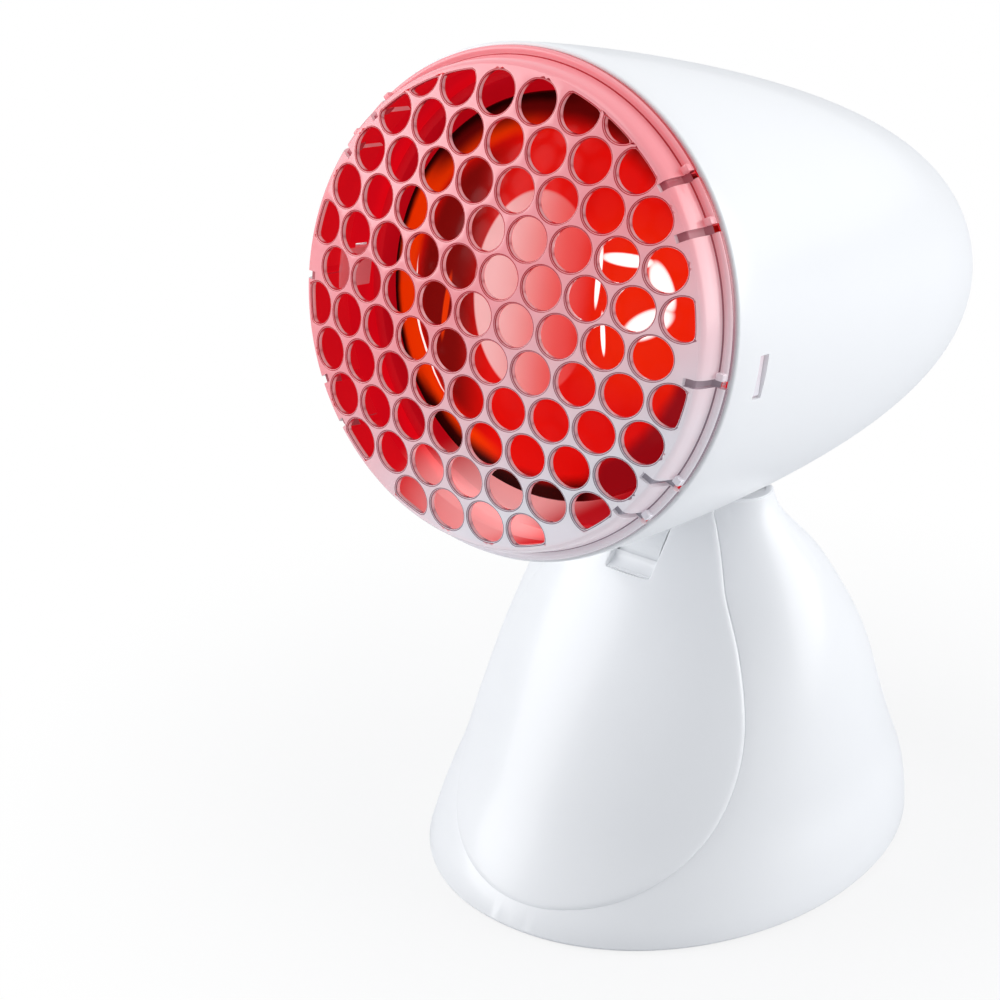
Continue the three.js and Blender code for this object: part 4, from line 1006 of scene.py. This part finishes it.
def bowl_outline(steps=30):
    start = bulb_rim + LENS_THICKNESS + GLASS_GAP
    end = cap_from - GLASS_GAP
    wide = BULB_RADIUS - GLASS_WALL - NECK_RADIUS
    band = [(BULB_RADIUS, start), (BULB_RADIUS, start + RIM_BAND)]
    bowl = [(NECK_RADIUS + wide * math.sqrt(1 - i / steps),
             start + RIM_BAND + BOWL_DEPTH * i / steps) for i in range(steps + 1)]
    neck = [(NECK_RADIUS, end), (0, end), (0, end - GLASS_WALL),
            (NECK_RADIUS - GLASS_WALL, end - GLASS_WALL)]
    inside = [(radius - GLASS_WALL, depth) for radius, depth in reversed(bowl)]
    return band + bowl + neck + inside + [(bowl[0][0] - GLASS_WALL, start)]


lens = mesh_from("bulb_front", *lathe(lens_outline(), LENS_SIDES), HEAD_TO_WORLD)
piece("bulb_front", lens, "head", [red_glass], ["bulb_lens"])
bowl = mesh_from("bulb_bowl", *lathe(bowl_outline(), BOWL_SIDES), HEAD_TO_WORLD)
piece("bulb_bowl", bowl, "head", [silvered_glass], ["bulb_reflector"])

# %% [markdown]
# A sheet shield stands round the bulb and keeps its heat off the hood. It is a spun cone with a
# curled front lip, so it is one more lathe, and it is sunk along with the hood's axis.

# %% Heat shield
SHIELD_SHEET = 1
SHIELD_AROUND_BULB = 6
SHIELD_BACK_RADIUS = 49.43
SHIELD_FLANGE_RADIUS = 58.8
SHIELD_TO = 146.7
SHIELD_SIDES = 120


def shield_outline():
    start, front = bulb_rim + LENS_THICKNESS, BULB_RADIUS + SHIELD_AROUND_BULB
    curled_lip = [
        (front, start), (front + 0.6, start - 1.2), (front + 2, start - 2), (front + 3, start - 2),
        (front + 3, start - 1.6), (front + 1.6, start - 0.4), (front + SHIELD_SHEET, start + 1)]
    return curled_lip + [
        (SHIELD_BACK_RADIUS + SHIELD_SHEET, SHIELD_TO), (SHIELD_FLANGE_RADIUS, SHIELD_TO),
        (SHIELD_FLANGE_RADIUS, SHIELD_TO + SHIELD_SHEET),
        (SHIELD_BACK_RADIUS, SHIELD_TO + SHIELD_SHEET)]


points, faces = lathe(shield_outline(), SHIELD_SIDES)
shield = mesh_from("bulb_shield", sunk(points, RIM_BEHIND_GRILLE), faces, HEAD_TO_WORLD)
piece("bulb_shield", shield, "head", [red_lit_sheet], ["heat_shield"])

# %% [markdown]
# The stand is one rounded body, cut into a front panel and a rear shell. One function gives its
# surface at an angle round it and a height, so both mouldings lie on the same form and their seam
# closes. The surface is a stack of rounded sections. Their half width and their reach to the front
# and to the rear come from smooth curves through the CAD model's levels.

# %% Stand sections
FOOT_WIDTH = 151.2
FOOT_FRONT = 90
FOOT_REAR = 94
ROUNDNESS = 2.05
LEVELS = [0, 0.078, 0.145, 0.234, 0.352, 0.555, 0.777, 1]
WIDTHS = [1, 0.987, 0.963, 0.919, 0.882, 0.803, 0.663, 0.43]
FRONTS = [1, 0.944, 0.889, 0.811, 0.716, 0.55, 0.337, 0.127]
REARS = [1, 0.987, 0.968, 0.91, 0.828, 0.701, 0.484, 0.25]


def curve_at(shares, share):
    """A smooth curve through the shares, level by level."""
    share = min(max(share, 0), 1)
    i = max(k for k in range(len(LEVELS) - 1) if LEVELS[k] <= share)
    t0, t1 = LEVELS[i], LEVELS[i + 1]
    before, after = (i - 1 if i else i + 1), (i + 2 if i + 2 < len(LEVELS) else i)
    t_before = LEVELS[i - 1] if i else 2 * t0 - t1
    t_after = LEVELS[i + 2] if i + 2 < len(LEVELS) else 2 * t1 - t0
    p = (share - t0) / (t1 - t0)
    low, high = (t1 - t0) / 2 / (t0 - t_before), (t1 - t0) / 2 / (t_after - t1)
    return (shares[before] * (-low * p ** 3 + 2 * low * p * p - low * p)
            + shares[i] * ((1 + low) * p ** 3 + (-1.5 - 2 * low) * p * p + (low - 0.5) * p + 1)
            + shares[i + 1] * ((-1 - high) * p ** 3 + (1.5 + high) * p * p + 0.5 * p)
            + shares[after] * (high * p ** 3 - high * p * p))


def section(height, inset=0.0):
    """The stand's half width, reach to the front and reach to the rear at a height."""
    share = height / STAND_HEIGHT
    return (FOOT_WIDTH / 2 * curve_at(WIDTHS, share) - inset,
            FOOT_FRONT * curve_at(FRONTS, share) - inset,
            FOOT_REAR * curve_at(REARS, share) - inset)


print("stand at its foot, mm:", [round(v, 1) for v in section(0)])

# %% [markdown]
# From a section and an angle come the point on the surface, and the way that is square to it
# there. The power in the rounding makes each section a little squarer than an ellipse, as the real
# foot is.

# %% Stand surface
NORMAL_STEP = 0.02


def rounded(value):
    return math.copysign(abs(value) ** (2 / ROUNDNESS), value)


def stand_point(angle, height, inset=0.0):
    """A point on the stand: angle 0 is the front and pi the back, towards +X."""
    wide, front, rear = section(height, inset)
    return Vector((wide * rounded(math.sin(angle)),
                   (rear - front) / 2 - (rear + front) / 2 * rounded(math.cos(angle)), height))


def stand_normal(angle, height, inset=0.0):
    if angle < NORMAL_STEP or angle > math.pi - NORMAL_STEP:
        around = Vector((1 if angle < 1 else -1, 0, 0))
    else:
        around = (stand_point(angle + NORMAL_STEP, height, inset)
                  - stand_point(angle - NORMAL_STEP, height, inset))
    up = stand_point(angle, height + 1, inset) - stand_point(angle, height - 1, inset)
    return around.cross(up).normalized()


def angle_at(x, height):
    """The angle on the front half where the surface is x to the side."""
    return math.asin(min(abs(x) / section(height)[0], 1) ** (ROUNDNESS / 2))


print("front of the foot, mm:", [round(v, 1) for v in stand_point(0.0, 0.0)])

# %% [markdown]
# The stand's top is a saddle that leaves 2 mm round the hood wherever the hood tilts. Its edge is
# found by walking up the surface until it meets what the hood sweeps, so the clearance is the same
# all round, which a boolean with a thicker hood would give only with a ragged edge.

# %% Saddle
HOOD_CLEARANCE = 2
HALVINGS = 24
SWEEP_TILTS = (TILT_UP, (TILT_UP - TILT_DOWN) / 2, -TILT_DOWN)
SWEEP = [moved(head_in_stand(REST_TILT + tilt), 0, RIM_BEHIND_GRILLE, 0).inverted()
         for tilt in SWEEP_TILTS]


def in_sweep(point):
    """True where the hood, with its clearance, passes at some tilt."""
    for to_hood in SWEEP:
        x, y, z = to_hood @ point
        level = z + HOOD_DROP * y / HOOD_LENGTH
        if y > 0 and math.hypot(x, level) < hood_radius(y, -HOOD_CLEARANCE):
            return True
    return False


def saddle_height(angle, inset=0.0):
    low, high = 0.5 * STAND_HEIGHT, STAND_HEIGHT
    if not in_sweep(stand_point(angle, high, inset)):
        return high
    for _ in range(HALVINGS):
        middle = (low + high) / 2
        if in_sweep(stand_point(angle, middle, inset)):
            high = middle
        else:
            low = middle
    return low


def saddle_line(start, end, inset, count):
    angles = [start + (end - start) * i / count for i in range(count + 1)]
    return [(angle, saddle_height(angle, inset)) for angle in angles]


heights = [round(saddle_height(angle), 1) for angle in (0.0, 0.8, 1.6, 2.4, math.pi)]
print("saddle from the front to the back, mm:", heights)

# %% [markdown]
# The panel's outline is a smooth curve on the front: a wide round bowl below that narrows towards
# the neck. A few knots are read as shares of the panel's width and the stand's height, a spline
# runs through them, and it ends where it meets the saddle. Its points are then spaced evenly, so
# that the rolled edge along it is even too.

# %% Seam
PANEL_HALF = 51.6
PANEL_SHARES = [
    (0, 0.072), (0.32, 0.084), (0.66, 0.128), (0.89, 0.208), (0.99, 0.325), (0.97, 0.488),
    (0.82, 0.668), (0.6, 0.828), (0.44, 0.935), (0.39, 0.985), (0.37, 1.1),
]
KNOT_STEPS = 10
SEAM_STEP = 1.6


def spline_points(knots):
    """A smooth curve through knots, mirrored before the first."""
    full = [(-knots[1][0], knots[1][1])] + knots + [knots[-1]]
    line = []
    for i in range(1, len(full) - 2):
        a, b, c, d = full[i - 1:i + 3]
        for k in range(KNOT_STEPS):
            t = k / KNOT_STEPS
            line.append(tuple(
                b[n] + t * ((c[n] - a[n]) / 2 + t * (a[n] - 2.5 * b[n] + 2 * c[n] - d[n] / 2
                + t * (1.5 * (b[n] - c[n]) + (d[n] - a[n]) / 2))) for n in (0, 1)))
    return line


def panel_line():
    """The panel's right outline as (angle, height), from the bottom up to the saddle."""
    line = []
    for x, z in spline_points([(x * PANEL_HALF, z * STAND_HEIGHT) for x, z in PANEL_SHARES]):
        if z > STAND_HEIGHT or z > saddle_height(angle_at(x, z)):
            break
        line.append((angle_at(x, z), z))
    return line


def resampled(chain, step):
    """The chain's points again, evenly spaced along the surface."""
    spots = [stand_point(angle, height) for angle, height in chain]
    run = [0.0]
    for one, two in zip(spots, spots[1:]):
        run.append(run[-1] + (two - one).length)
    count = max(2, round(run[-1] / step))
    line, k = [], 0
    for i in range(count + 1):
        want = run[-1] * i / count
        while k < len(run) - 2 and run[k + 1] < want:
            k += 1
        share = (want - run[k]) / max(run[k + 1] - run[k], 1e-9)
        line.append(tuple(
            chain[k][n] + (chain[k + 1][n] - chain[k][n]) * share for n in (0, 1)))
    return line


seam = panel_line()
seam_line = resampled(seam, SEAM_STEP)
print("seam from", [round(v, 2) for v in seam[0]], "to", [round(v, 2) for v in seam[-1]])

# %% [markdown]
# A moulding is a wall of even thickness with rounded edges. A Solidify modifier would give the
# wall but not the rolled edge, so it is built here as half a skin and mirrored. Along each edge
# the points are set square to the surface, first round the edge, then down the wall, then round
# again to the inside. This cell finds which way is square at each point of an edge, and lays those
# rings.

# %% Moulding edges
WALL = 2.6
ROLL_STEPS = 4
INNER_ROUND = 0.5
INNER_STEPS = 2
LAP_DROP = 0.15
SHARPEST_TURN = 0.35


def edge_frames(chain, inset):
    """At each point of an edge: the point, the surface's normal and the way into the moulding."""
    spots = [stand_point(angle, height, inset) for angle, height in chain]
    normals = [stand_normal(angle, height, inset) for angle, height in chain]
    frames = []
    for i, spot in enumerate(spots):
        sides = []
        for one, two in ((i - 1, i), (i, i + 1)):
            if 0 <= one and two < len(spots):
                along = (spots[two] - spots[one]).normalized()
                sides.append(normals[i].cross(along).normalized())
        inward = sum(sides, Vector()) / len(sides)
        inward /= max(inward.length_squared, SHARPEST_TURN)
        if i in (0, len(spots) - 1) and abs(spot.x) < 1e-4:
            inward.x = 0
            normals[i].x = 0
        frames.append((spot, normals[i].normalized(), inward))
    return frames


def edge_rings(frames, roll, lap):
    """Rings of spots: round the edge, out over the lap, down the wall and round to the inside."""
    rings = []
    for k in range(ROLL_STEPS + 1):
        turn = math.pi / 2 * k / ROLL_STEPS
        over, under = 1 - math.sin(turn), 1 - math.cos(turn)
        rings.append([spot + inward * size * over - normal * drop * under
                      for (spot, normal, inward), (size, drop) in zip(frames, roll)])
    if lap:
        rings.append([spot - inward * lap - normal * (drop + LAP_DROP)
                      for (spot, normal, inward), (_, drop) in zip(frames, roll)])
    for k in range(INNER_STEPS + 1):
        turn = math.pi / 2 * (INNER_STEPS - k) / INNER_STEPS
        over, under = INNER_ROUND * (1 - math.sin(turn)), INNER_ROUND * (1 - math.cos(turn))
        rings.append([spot + inward * (over - lap) - normal * (WALL - under)
                      for spot, normal, inward in frames])
    return rings


# %% [markdown]
# Between its edges the skin is triangulated from a grid of spots. They are laid out flat, with the
# angle round the stand as one direction and the height as the other, because a triangulation only
# works in the plane. This cell finds the spots of the grid that lie in the moulding.

# %% Flat grid
GRID_MM = 4.0
AROUND_MM = 60.0
GRID_CLEAR = GRID_MM * 0.8
BACK_CLEAR = 2
WIDE_ROLL = 2
ROLL_CLEAR = 1.5


def inside(polygon, point):
    crossings = False
    x, y = point
    for (x1, y1), (x2, y2) in zip(polygon, polygon[1:] + polygon[:1]):
        if (y1 > y) != (y2 > y) and x < (x2 - x1) * (y - y1) / (y2 - y1) + x1:
            crossings = not crossings
    return crossings


def near(line, point, distance):
    return any(math.hypot(x - point[0], y - point[1]) < distance for x, y in line)


def grid_spots(polygon, rim, widest_roll):
    """Flat grid spots inside the outline, clear of it and of wide rolls along the edges."""
    spots = []
    for column in range(1, int(math.pi * AROUND_MM / GRID_MM)):
        for row in range(1, int(STAND_HEIGHT / GRID_MM)):
            spot = (column * GRID_MM + row % 2 * GRID_MM / 2, row * GRID_MM)
            if spot[0] >= math.pi * AROUND_MM - BACK_CLEAR or not inside(polygon, spot):
                continue
            on_roll = widest_roll > WIDE_ROLL and near(rim, spot, widest_roll + ROLL_CLEAR)
            if not on_roll and not near(polygon, spot, GRID_CLEAR):
                spots.append(spot)
    return spots


# %% [markdown]
# Now the whole half of a moulding can be built: the rings along its edges, then the spots of the
# mirror plane and of the grid, each on the moulding's face and on its back, and last the triangles
# between them.

# %% Moulding builder
def moulding(edges, closings, inset, rolls, lap=0.0):
    """Half a moulding. Each edge is a chain of (angle, height) with the moulding on its left, and
    each closing joins an edge's end to the next edge's start on the mirror plane. A roll is how
    far an edge is rounded. A lap is how far the wall steps out below it to close the seam."""
    flat, front, rear, loop, points, faces = [], [], [], [], [], []

    def put(spot):
        points.append(tuple(spot))
        return len(points) - 1

    def put_face_and_back(angle, height):
        flat.append((angle, height))
        face = stand_point(angle, height, inset)
        front.append(put(face))
        rear.append(put(face - stand_normal(angle, height, inset) * WALL))

    for chain, closing, roll in zip(edges, closings, rolls):
        loop += range(len(flat), len(flat) + len(chain))
        flat += chain
        rings = [[put(spot) for spot in ring]
                 for ring in edge_rings(edge_frames(chain, inset), roll, lap)]
        for one, two in zip(rings, rings[1:]):
            faces += [(one[k], one[k + 1], two[k + 1], two[k]) for k in range(len(chain) - 1)]
        front += rings[0]
        rear += rings[-1]
        for angle, height in closing:
            loop.append(len(flat))
            put_face_and_back(angle, height)
    polygon = [(flat[i][0] * AROUND_MM, flat[i][1]) for i in loop]
    rim = [(angle * AROUND_MM, height) for chain in edges for angle, height in chain]
    widest_roll = max(size for roll in rolls for size, _ in roll)
    for u, height in grid_spots(polygon, rim, widest_roll):
        put_face_and_back(u / AROUND_MM, height)
    spots = [Vector((angle * AROUND_MM, height)) for angle, height in flat]
    fences = [(loop[k - 1], loop[k]) for k in range(len(loop))]
    for middle, corners in flat_triangles(spots, fences):
        if inside(polygon, middle):
            faces += [[front[i] for i in corners], [rear[i] for i in corners]]
    return points, faces


# %% [markdown]
# Inside the saddle's edge a thin flange follows the hood, so the eye never looks into the hollow
# stand. The flange is one more closed form, and a last helper mirrors every half.

# %% Saddle flange and mirror
FLANGE_STEPS = (1.2, 3, 5, 7, 9)
FLANGE_SHEET = 1.3
FLANGE_START = 0.02
FLANGE_BELOW = 0.1


def saddle_flange(start, end, inset, count):
    """A thin sheet inside the saddle's edge, from start to end, set in step by step."""
    points, faces, rings = [], [], []
    depths = [inset + step for step in FLANGE_STEPS]
    for i in range(count + 1):
        angle = start + (end - start) * i / count
        upper = [stand_point(angle, saddle_height(angle, depth) - FLANGE_BELOW, depth)
                 for depth in depths]
        lower = [spot - Vector((0, 0, FLANGE_SHEET)) for spot in reversed(upper)]
        rings.append(range(len(points), len(points) + 2 * len(depths)))
        points += [tuple(spot) for spot in upper + lower]
    for one, two in zip(rings, rings[1:]):
        faces += closed_band(one, two)
    faces.append(list(rings[0]))
    if end < math.pi - 1e-6:
        faces.append(list(rings[-1]))
    return points, faces


def both_halves(points, faces):
    """The half and its mirror image. Points on the mirror plane come twice, and are welded."""
    points = [(0.0 if abs(x) < 1e-3 else x, y, z) for x, y, z in points]
    count = len(points)
    mirrored = [(-x, y, z) for x, y, z in points]
    return points + mirrored, faces + [[i + count for i in reversed(face)] for face in faces]


# %% [markdown]
# The front panel has a notch at its top for the neck that carries the hood. Its long edges are
# rolled in a little, as a snapped-on panel's are, so they catch a fine line of light, and a thin
# gap parts it from the rear shell. Its outline runs up the seam, along the saddle's crown, and
# down the notch to the mirror plane.

# %% Panel outline
NOTCH_HALF = 8.5
NOTCH_BOTTOM = 104
NOTCH_TOP = 118
NOTCH_ROUND = 0.8
NOTCH_STEPS = 8
CORNER_STEPS = 5
FLOOR_STEPS = 5
CROWN_STEPS = 10
MIRROR_STEPS = 26
SMALL_ROLL = 0.5
SEAM_ROLL = (1.6, 0.4)
ROLL_FADE = 6


def notch_line():
    """From the saddle down the notch's side and along its floor to the middle."""
    down = saddle_height(angle_at(NOTCH_HALF, NOTCH_TOP))
    run = down - NOTCH_BOTTOM - NOTCH_ROUND
    line = [(NOTCH_HALF, down - k * run / NOTCH_STEPS) for k in range(NOTCH_STEPS + 1)]
    for k in range(1, CORNER_STEPS + 1):
        turn = math.pi / 2 * k / CORNER_STEPS
        line.append((NOTCH_HALF - NOTCH_ROUND * (1 - math.cos(turn)),
                     NOTCH_BOTTOM + NOTCH_ROUND * (1 - math.sin(turn))))
    line += [(NOTCH_HALF * k / FLOOR_STEPS, NOTCH_BOTTOM) for k in (3, 2, 1, 0)]
    return [(angle_at(x, z), z) for x, z in line]


def panel_rolls():
    """Wide soft rolls along the seam, small ones at the crown and the notch."""
    rolls = []
    for i in range(len(panel_edge)):
        share = min(max((len(seam_line) - 1 - i) / ROLL_FADE, 0), 1)
        rolls.append(tuple(SMALL_ROLL + extra * share for extra in SEAM_ROLL))
    return rolls


notch = notch_line()
crown = saddle_line(seam_line[-1][0], notch[0][0], 0.0, CROWN_STEPS)
panel_edge = seam_line + crown[1:] + notch[1:]
closing = [(0.0, NOTCH_BOTTOM - k * (NOTCH_BOTTOM - seam[0][1]) / MIRROR_STEPS)
           for k in range(1, MIRROR_STEPS)]
print("panel edge points:", len(panel_edge))

# %% [markdown]
# Behind the notch a rib runs back on each side of the neck, a sill closes the floor, and a hollow
# fillet rises from it to just clear of the neck. They are small closed forms that overlap the
# panel's wall, which reads as one moulding.

# %% Front panel
RIB = 1.5
RIBS_BACK = 16
NECK_COVER = 21.5
SCOOP_STEPS = 8
SCOOP_RISE = 4.2
SCOOP_CLEAR = 0.4
SCOOP_SUNK = 0.2
# heights above the axle of the fillet's back, which follows the neck's drum
SCOOP_BACK = (7.7, 6, 4, 3.4)


def notch_rib():
    """A rib behind the notch's side. It runs from the panel's inner face back beside the neck."""
    outline, height = [], NOTCH_BOTTOM - RIB
    while True:
        angle = angle_at(NOTCH_HALF + RIB, height)
        face = stand_point(angle, height).y + DEEP_IN_WALL * WALL
        if face > -RIBS_BACK - 0.3:
            break
        outline.append((face, height))
        height += 1
    outline += [(-RIBS_BACK, outline[-1][1]), (-RIBS_BACK, NOTCH_BOTTOM - RIB)]
    return prism(outline, NOTCH_HALF, NOTCH_HALF + RIB)


def scoop(sill_front):
    """A hollow fillet that rises from the notch's floor to just clear of the neck."""
    start, end = sill_front - 0.8, -(NECK_COVER - 0.6)
    turns = [math.pi / 2 * k / SCOOP_STEPS for k in range(SCOOP_STEPS + 1)]
    front = [(start + (end - start) * math.sin(turn),
              NOTCH_BOTTOM - SCOOP_SUNK + SCOOP_RISE * (1 - math.cos(turn))) for turn in turns]
    clear = NECK_COVER + SCOOP_CLEAR
    back = [(-math.sqrt(clear ** 2 - z ** 2), AXLE_HEIGHT + z) for z in SCOOP_BACK]
    outline = front + back + [(start, back[-1][1])]
    return prism(outline, -NOTCH_HALF - SCOOP_SUNK, NOTCH_HALF + SCOOP_SUNK)


points, faces = moulding([panel_edge], [closing], 0.0, [panel_rolls()])
panel_mesh = mesh_from("panel", *both_halves(points, faces), STAND_TO_WORLD)
ribs = mesh_from("ribs", *both_halves(*notch_rib()), STAND_TO_WORLD)
crown_flange = saddle_flange(notch[0][0] + FLANGE_START, seam_line[-1][0], 0.0, CROWN_STEPS)
crown_mesh = mesh_from("crown", *both_halves(*crown_flange), STAND_TO_WORLD)
sill_front = stand_point(0.0, NOTCH_BOTTOM).y + DEEP_IN_WALL * WALL
sill_back = -(NECK_COVER + 1)
sill = block((2 * NOTCH_HALF, sill_back - sill_front, RIB),
             moved(STAND_TO_WORLD, 0, (sill_front + sill_back) / 2, NOTCH_BOTTOM - RIB / 2))
scoop_mesh = mesh_from("scoop", *scoop(sill_front), STAND_TO_WORLD)
panel_whole = together([panel_mesh, ribs, crown_mesh, sill, scoop_mesh])
piece("panel", panel_whole, "stand", [gloss_white], ["front_panel"])

# %% [markdown]
# The rear shell runs all round the foot and up the sides and the back. It sits 0.8 mm lower than
# the panel, so the seam is a small step as well as a gap, and its inner flange is cut away where
# the neck swings.

# %% Rear shell
PANEL_PROUD = 0.8
SHELL_LIFT = 1
SEAM_LAP = 0.3
FOOT_ROLL = 1.0
FOOT_STEPS = 110
SADDLE_STEPS = 60
BACK_STEPS = 30
FRONT_STEPS = 4
NECK_BACK = 25.4
shell_seam = list(seam_line)
shell_seam[-1] = (seam_line[-1][0], saddle_height(seam_line[-1][0], PANEL_PROUD))
saddle = saddle_line(shell_seam[-1][0], math.pi, PANEL_PROUD, SADDLE_STEPS)
shell_top = (shell_seam + saddle[1:])[::-1]
foot_line = [(math.pi * i / FOOT_STEPS, SHELL_LIFT) for i in range(FOOT_STEPS + 1)]
back_height, front_height = shell_top[0][1], shell_seam[0][1]
back_gap = [(math.pi, SHELL_LIFT + k * (back_height - SHELL_LIFT) / BACK_STEPS)
            for k in range(1, BACK_STEPS)]
front_gap = [(0.0, front_height - k * (front_height - SHELL_LIFT) / FRONT_STEPS)
             for k in range(1, FRONT_STEPS)]
shell_rolls = [[(FOOT_ROLL, FOOT_ROLL)] * len(foot_line),
               [(SMALL_ROLL, SMALL_ROLL)] * len(shell_top)]
points, faces = moulding([foot_line, shell_top], [back_gap, front_gap], PANEL_PROUD,
                         shell_rolls, SEAM_LAP)
shell_mesh = mesh_from("shell", *both_halves(points, faces), STAND_TO_WORLD)
rim_flange = saddle_flange(shell_seam[-1][0] + FLANGE_START, math.pi, PANEL_PROUD, SADDLE_STEPS)
rim_mesh = mesh_from("rim", *both_halves(*rim_flange), STAND_TO_WORLD)
neck_way = block((2 * NOTCH_HALF, 2 * NECK_BACK, STAND_HEIGHT),
                 moved(STAND_TO_WORLD, 0, 0, NOTCH_BOTTOM + STAND_HEIGHT / 2))
rim_mesh = carved(rim_mesh, [neck_way], [gloss_white])
piece("shell", together([shell_mesh, rim_mesh]), "stand",
      [gloss_white], ["rear_shell"])

# %% [markdown]
# The CAD solids that keep their shapes get the finish of what they are really made of. A small
# bevel takes the knife edges off those that show, since no moulding or casting has them. It is a
# modifier, so the CAD mesh itself isn't changed.

# %% Carried-over parts
FINISHES = {
    "soft_white_plastic": satin_white, "plated_steel": zinc_steel,
    "sheet_aluminium": rolled_aluminium, "cap_brass": stamped_brass,
    "tungsten_wire": drawn_tungsten, "porcelain": porcelain,
    "dark_plastic": dark_abs, "black_rubber": rubber,
}
BEVELLED = {"neck_block": 0.6, "switch_body": 0.5, "switch_rocker": 0.4}
BEVEL_FROM = math.radians(40)
slot_of = {row["node"]: row["material_slot"] for row in frame["record"]["subparts"]}
carried = {node: form for node, form in frame["nodes"].items() if slot_of[node] in FINISHES}
for node, form in carried.items():
    form.data.materials.clear()
    form.data.materials.append(FINISHES[slot_of[node]])
    if node in BEVELLED:
        bevel = form.modifiers.new("edge", "BEVEL")
        bevel.width = BEVELLED[node] * MM
        bevel.segments = 3
        bevel.limit_method = "ANGLE"
        bevel.angle_limit = BEVEL_FROM
print("CAD solids with a finish:", len(carried))

# %% [markdown]
# The studio is a floor that is white to the camera but keeps the lamp's shadow, and a white world
# that glass and gloss see. Near the lamp the camera sees shaded paper under a veil of white, and
# further away plain white alone, so no horizon shows. To the lamp itself the floor stays paper,
# which throws back only the light that falls on it.

# %% Floor and world
FLOOR_HALF = 6
FLOOR_WHITE = 0.83
FADE_FROM, FADE_TO = 0.09, 0.26
WORLD_LEVEL = 0.45


def studio_floor():
    mesh = bpy.data.meshes.new("floor")
    corners = [(-1, -1), (1, -1), (1, 1), (-1, 1)]
    mesh.from_pydata([(x * FLOOR_HALF, y * FLOOR_HALF, 0) for x, y in corners], [], [(0, 1, 2, 3)])
    floor = bpy.data.objects.new("floor", mesh)
    bpy.context.collection.objects.link(floor)
    material = bpy.data.materials.new("paper_floor")
    material.use_nodes = True
    tree = material.node_tree
    tree.nodes.clear()
    paper = add(tree, "ShaderNodeBsdfDiffuse", {"Color": linear("#DFE1E4")})
    light = add(tree, "ShaderNodeEmission", {"Color": (1, 1, 1, 1), "Strength": 1.0})
    rays = add(tree, "ShaderNodeLightPath").outputs
    place = add(tree, "ShaderNodeTexCoord").outputs["Object"]
    away = add(tree, "ShaderNodeVectorMath", {0: place}, operation="LENGTH").outputs["Value"]
    share = spread(tree, soft_step(tree, away, FADE_FROM, FADE_TO), FLOOR_WHITE, 1.0)
    seen = maths(tree, "MULTIPLY", rays["Is Camera Ray"], share)
    mix = add(tree, "ShaderNodeMixShader", {"Fac": seen, 1: paper.outputs[0], 2: light.outputs[0]})
    add(tree, "ShaderNodeOutputMaterial", {"Surface": mix.outputs[0]})
    mesh.materials.append(material)


def studio_world():
    world = bpy.data.worlds.new("studio")
    bpy.context.scene.world = world
    world.use_nodes = True
    tree = world.node_tree
    tree.nodes.clear()
    rays = add(tree, "ShaderNodeLightPath").outputs
    seen = maths(tree, "MAXIMUM", rays["Is Camera Ray"], rays["Is Glossy Ray"])
    seen = maths(tree, "MAXIMUM", seen, rays["Is Transmission Ray"])
    strength = spread(tree, seen, WORLD_LEVEL, 1.0)
    tint = blend(tree, rays["Is Camera Ray"], "#F8FBFF", "#FFFFFF")
    shade = add(tree, "ShaderNodeBackground", {"Color": tint, "Strength": strength})
    add(tree, "ShaderNodeOutputWorld", {"Surface": shade.outputs[0]})


studio_floor()
studio_world()
print("floor, m:", 2 * FLOOR_HALF, "across")

# %% [markdown]
# Three large round lamps give the soft light of the photograph: a weak one above, and a stronger
# one on each side, so the hood and the stand turn slowly from light to shade. They are kept low
# enough that the white plastic never clips.

# %% Lamps
AIM = Vector((0, 0, 0.15))
# (name, place in metres, width in metres, watts)
LAMPS = [
    ("top_lamp", (-0.2, -0.2, 1.9), 1.2, 6),
    ("left_lamp", (-1.5, -1.1, 0.9), 1.6, 20),
    ("right_lamp", (1.35, 0.9, 0.7), 1.6, 18.5),
]
for name, spot, width, watts in LAMPS:
    light = bpy.data.lights.new(name, "AREA")
    light.shape = "DISK"
    light.size = width
    light.energy = watts
    lamp = bpy.data.objects.new(name, light)
    bpy.context.collection.objects.link(lamp)
    lamp.location = spot
    lamp.rotation_euler = (AIM - Vector(spot)).to_track_quat("-Z", "Y").to_euler()
bpy.context.scene.view_settings.view_transform = "Standard"
print("lamps:", len(LAMPS))
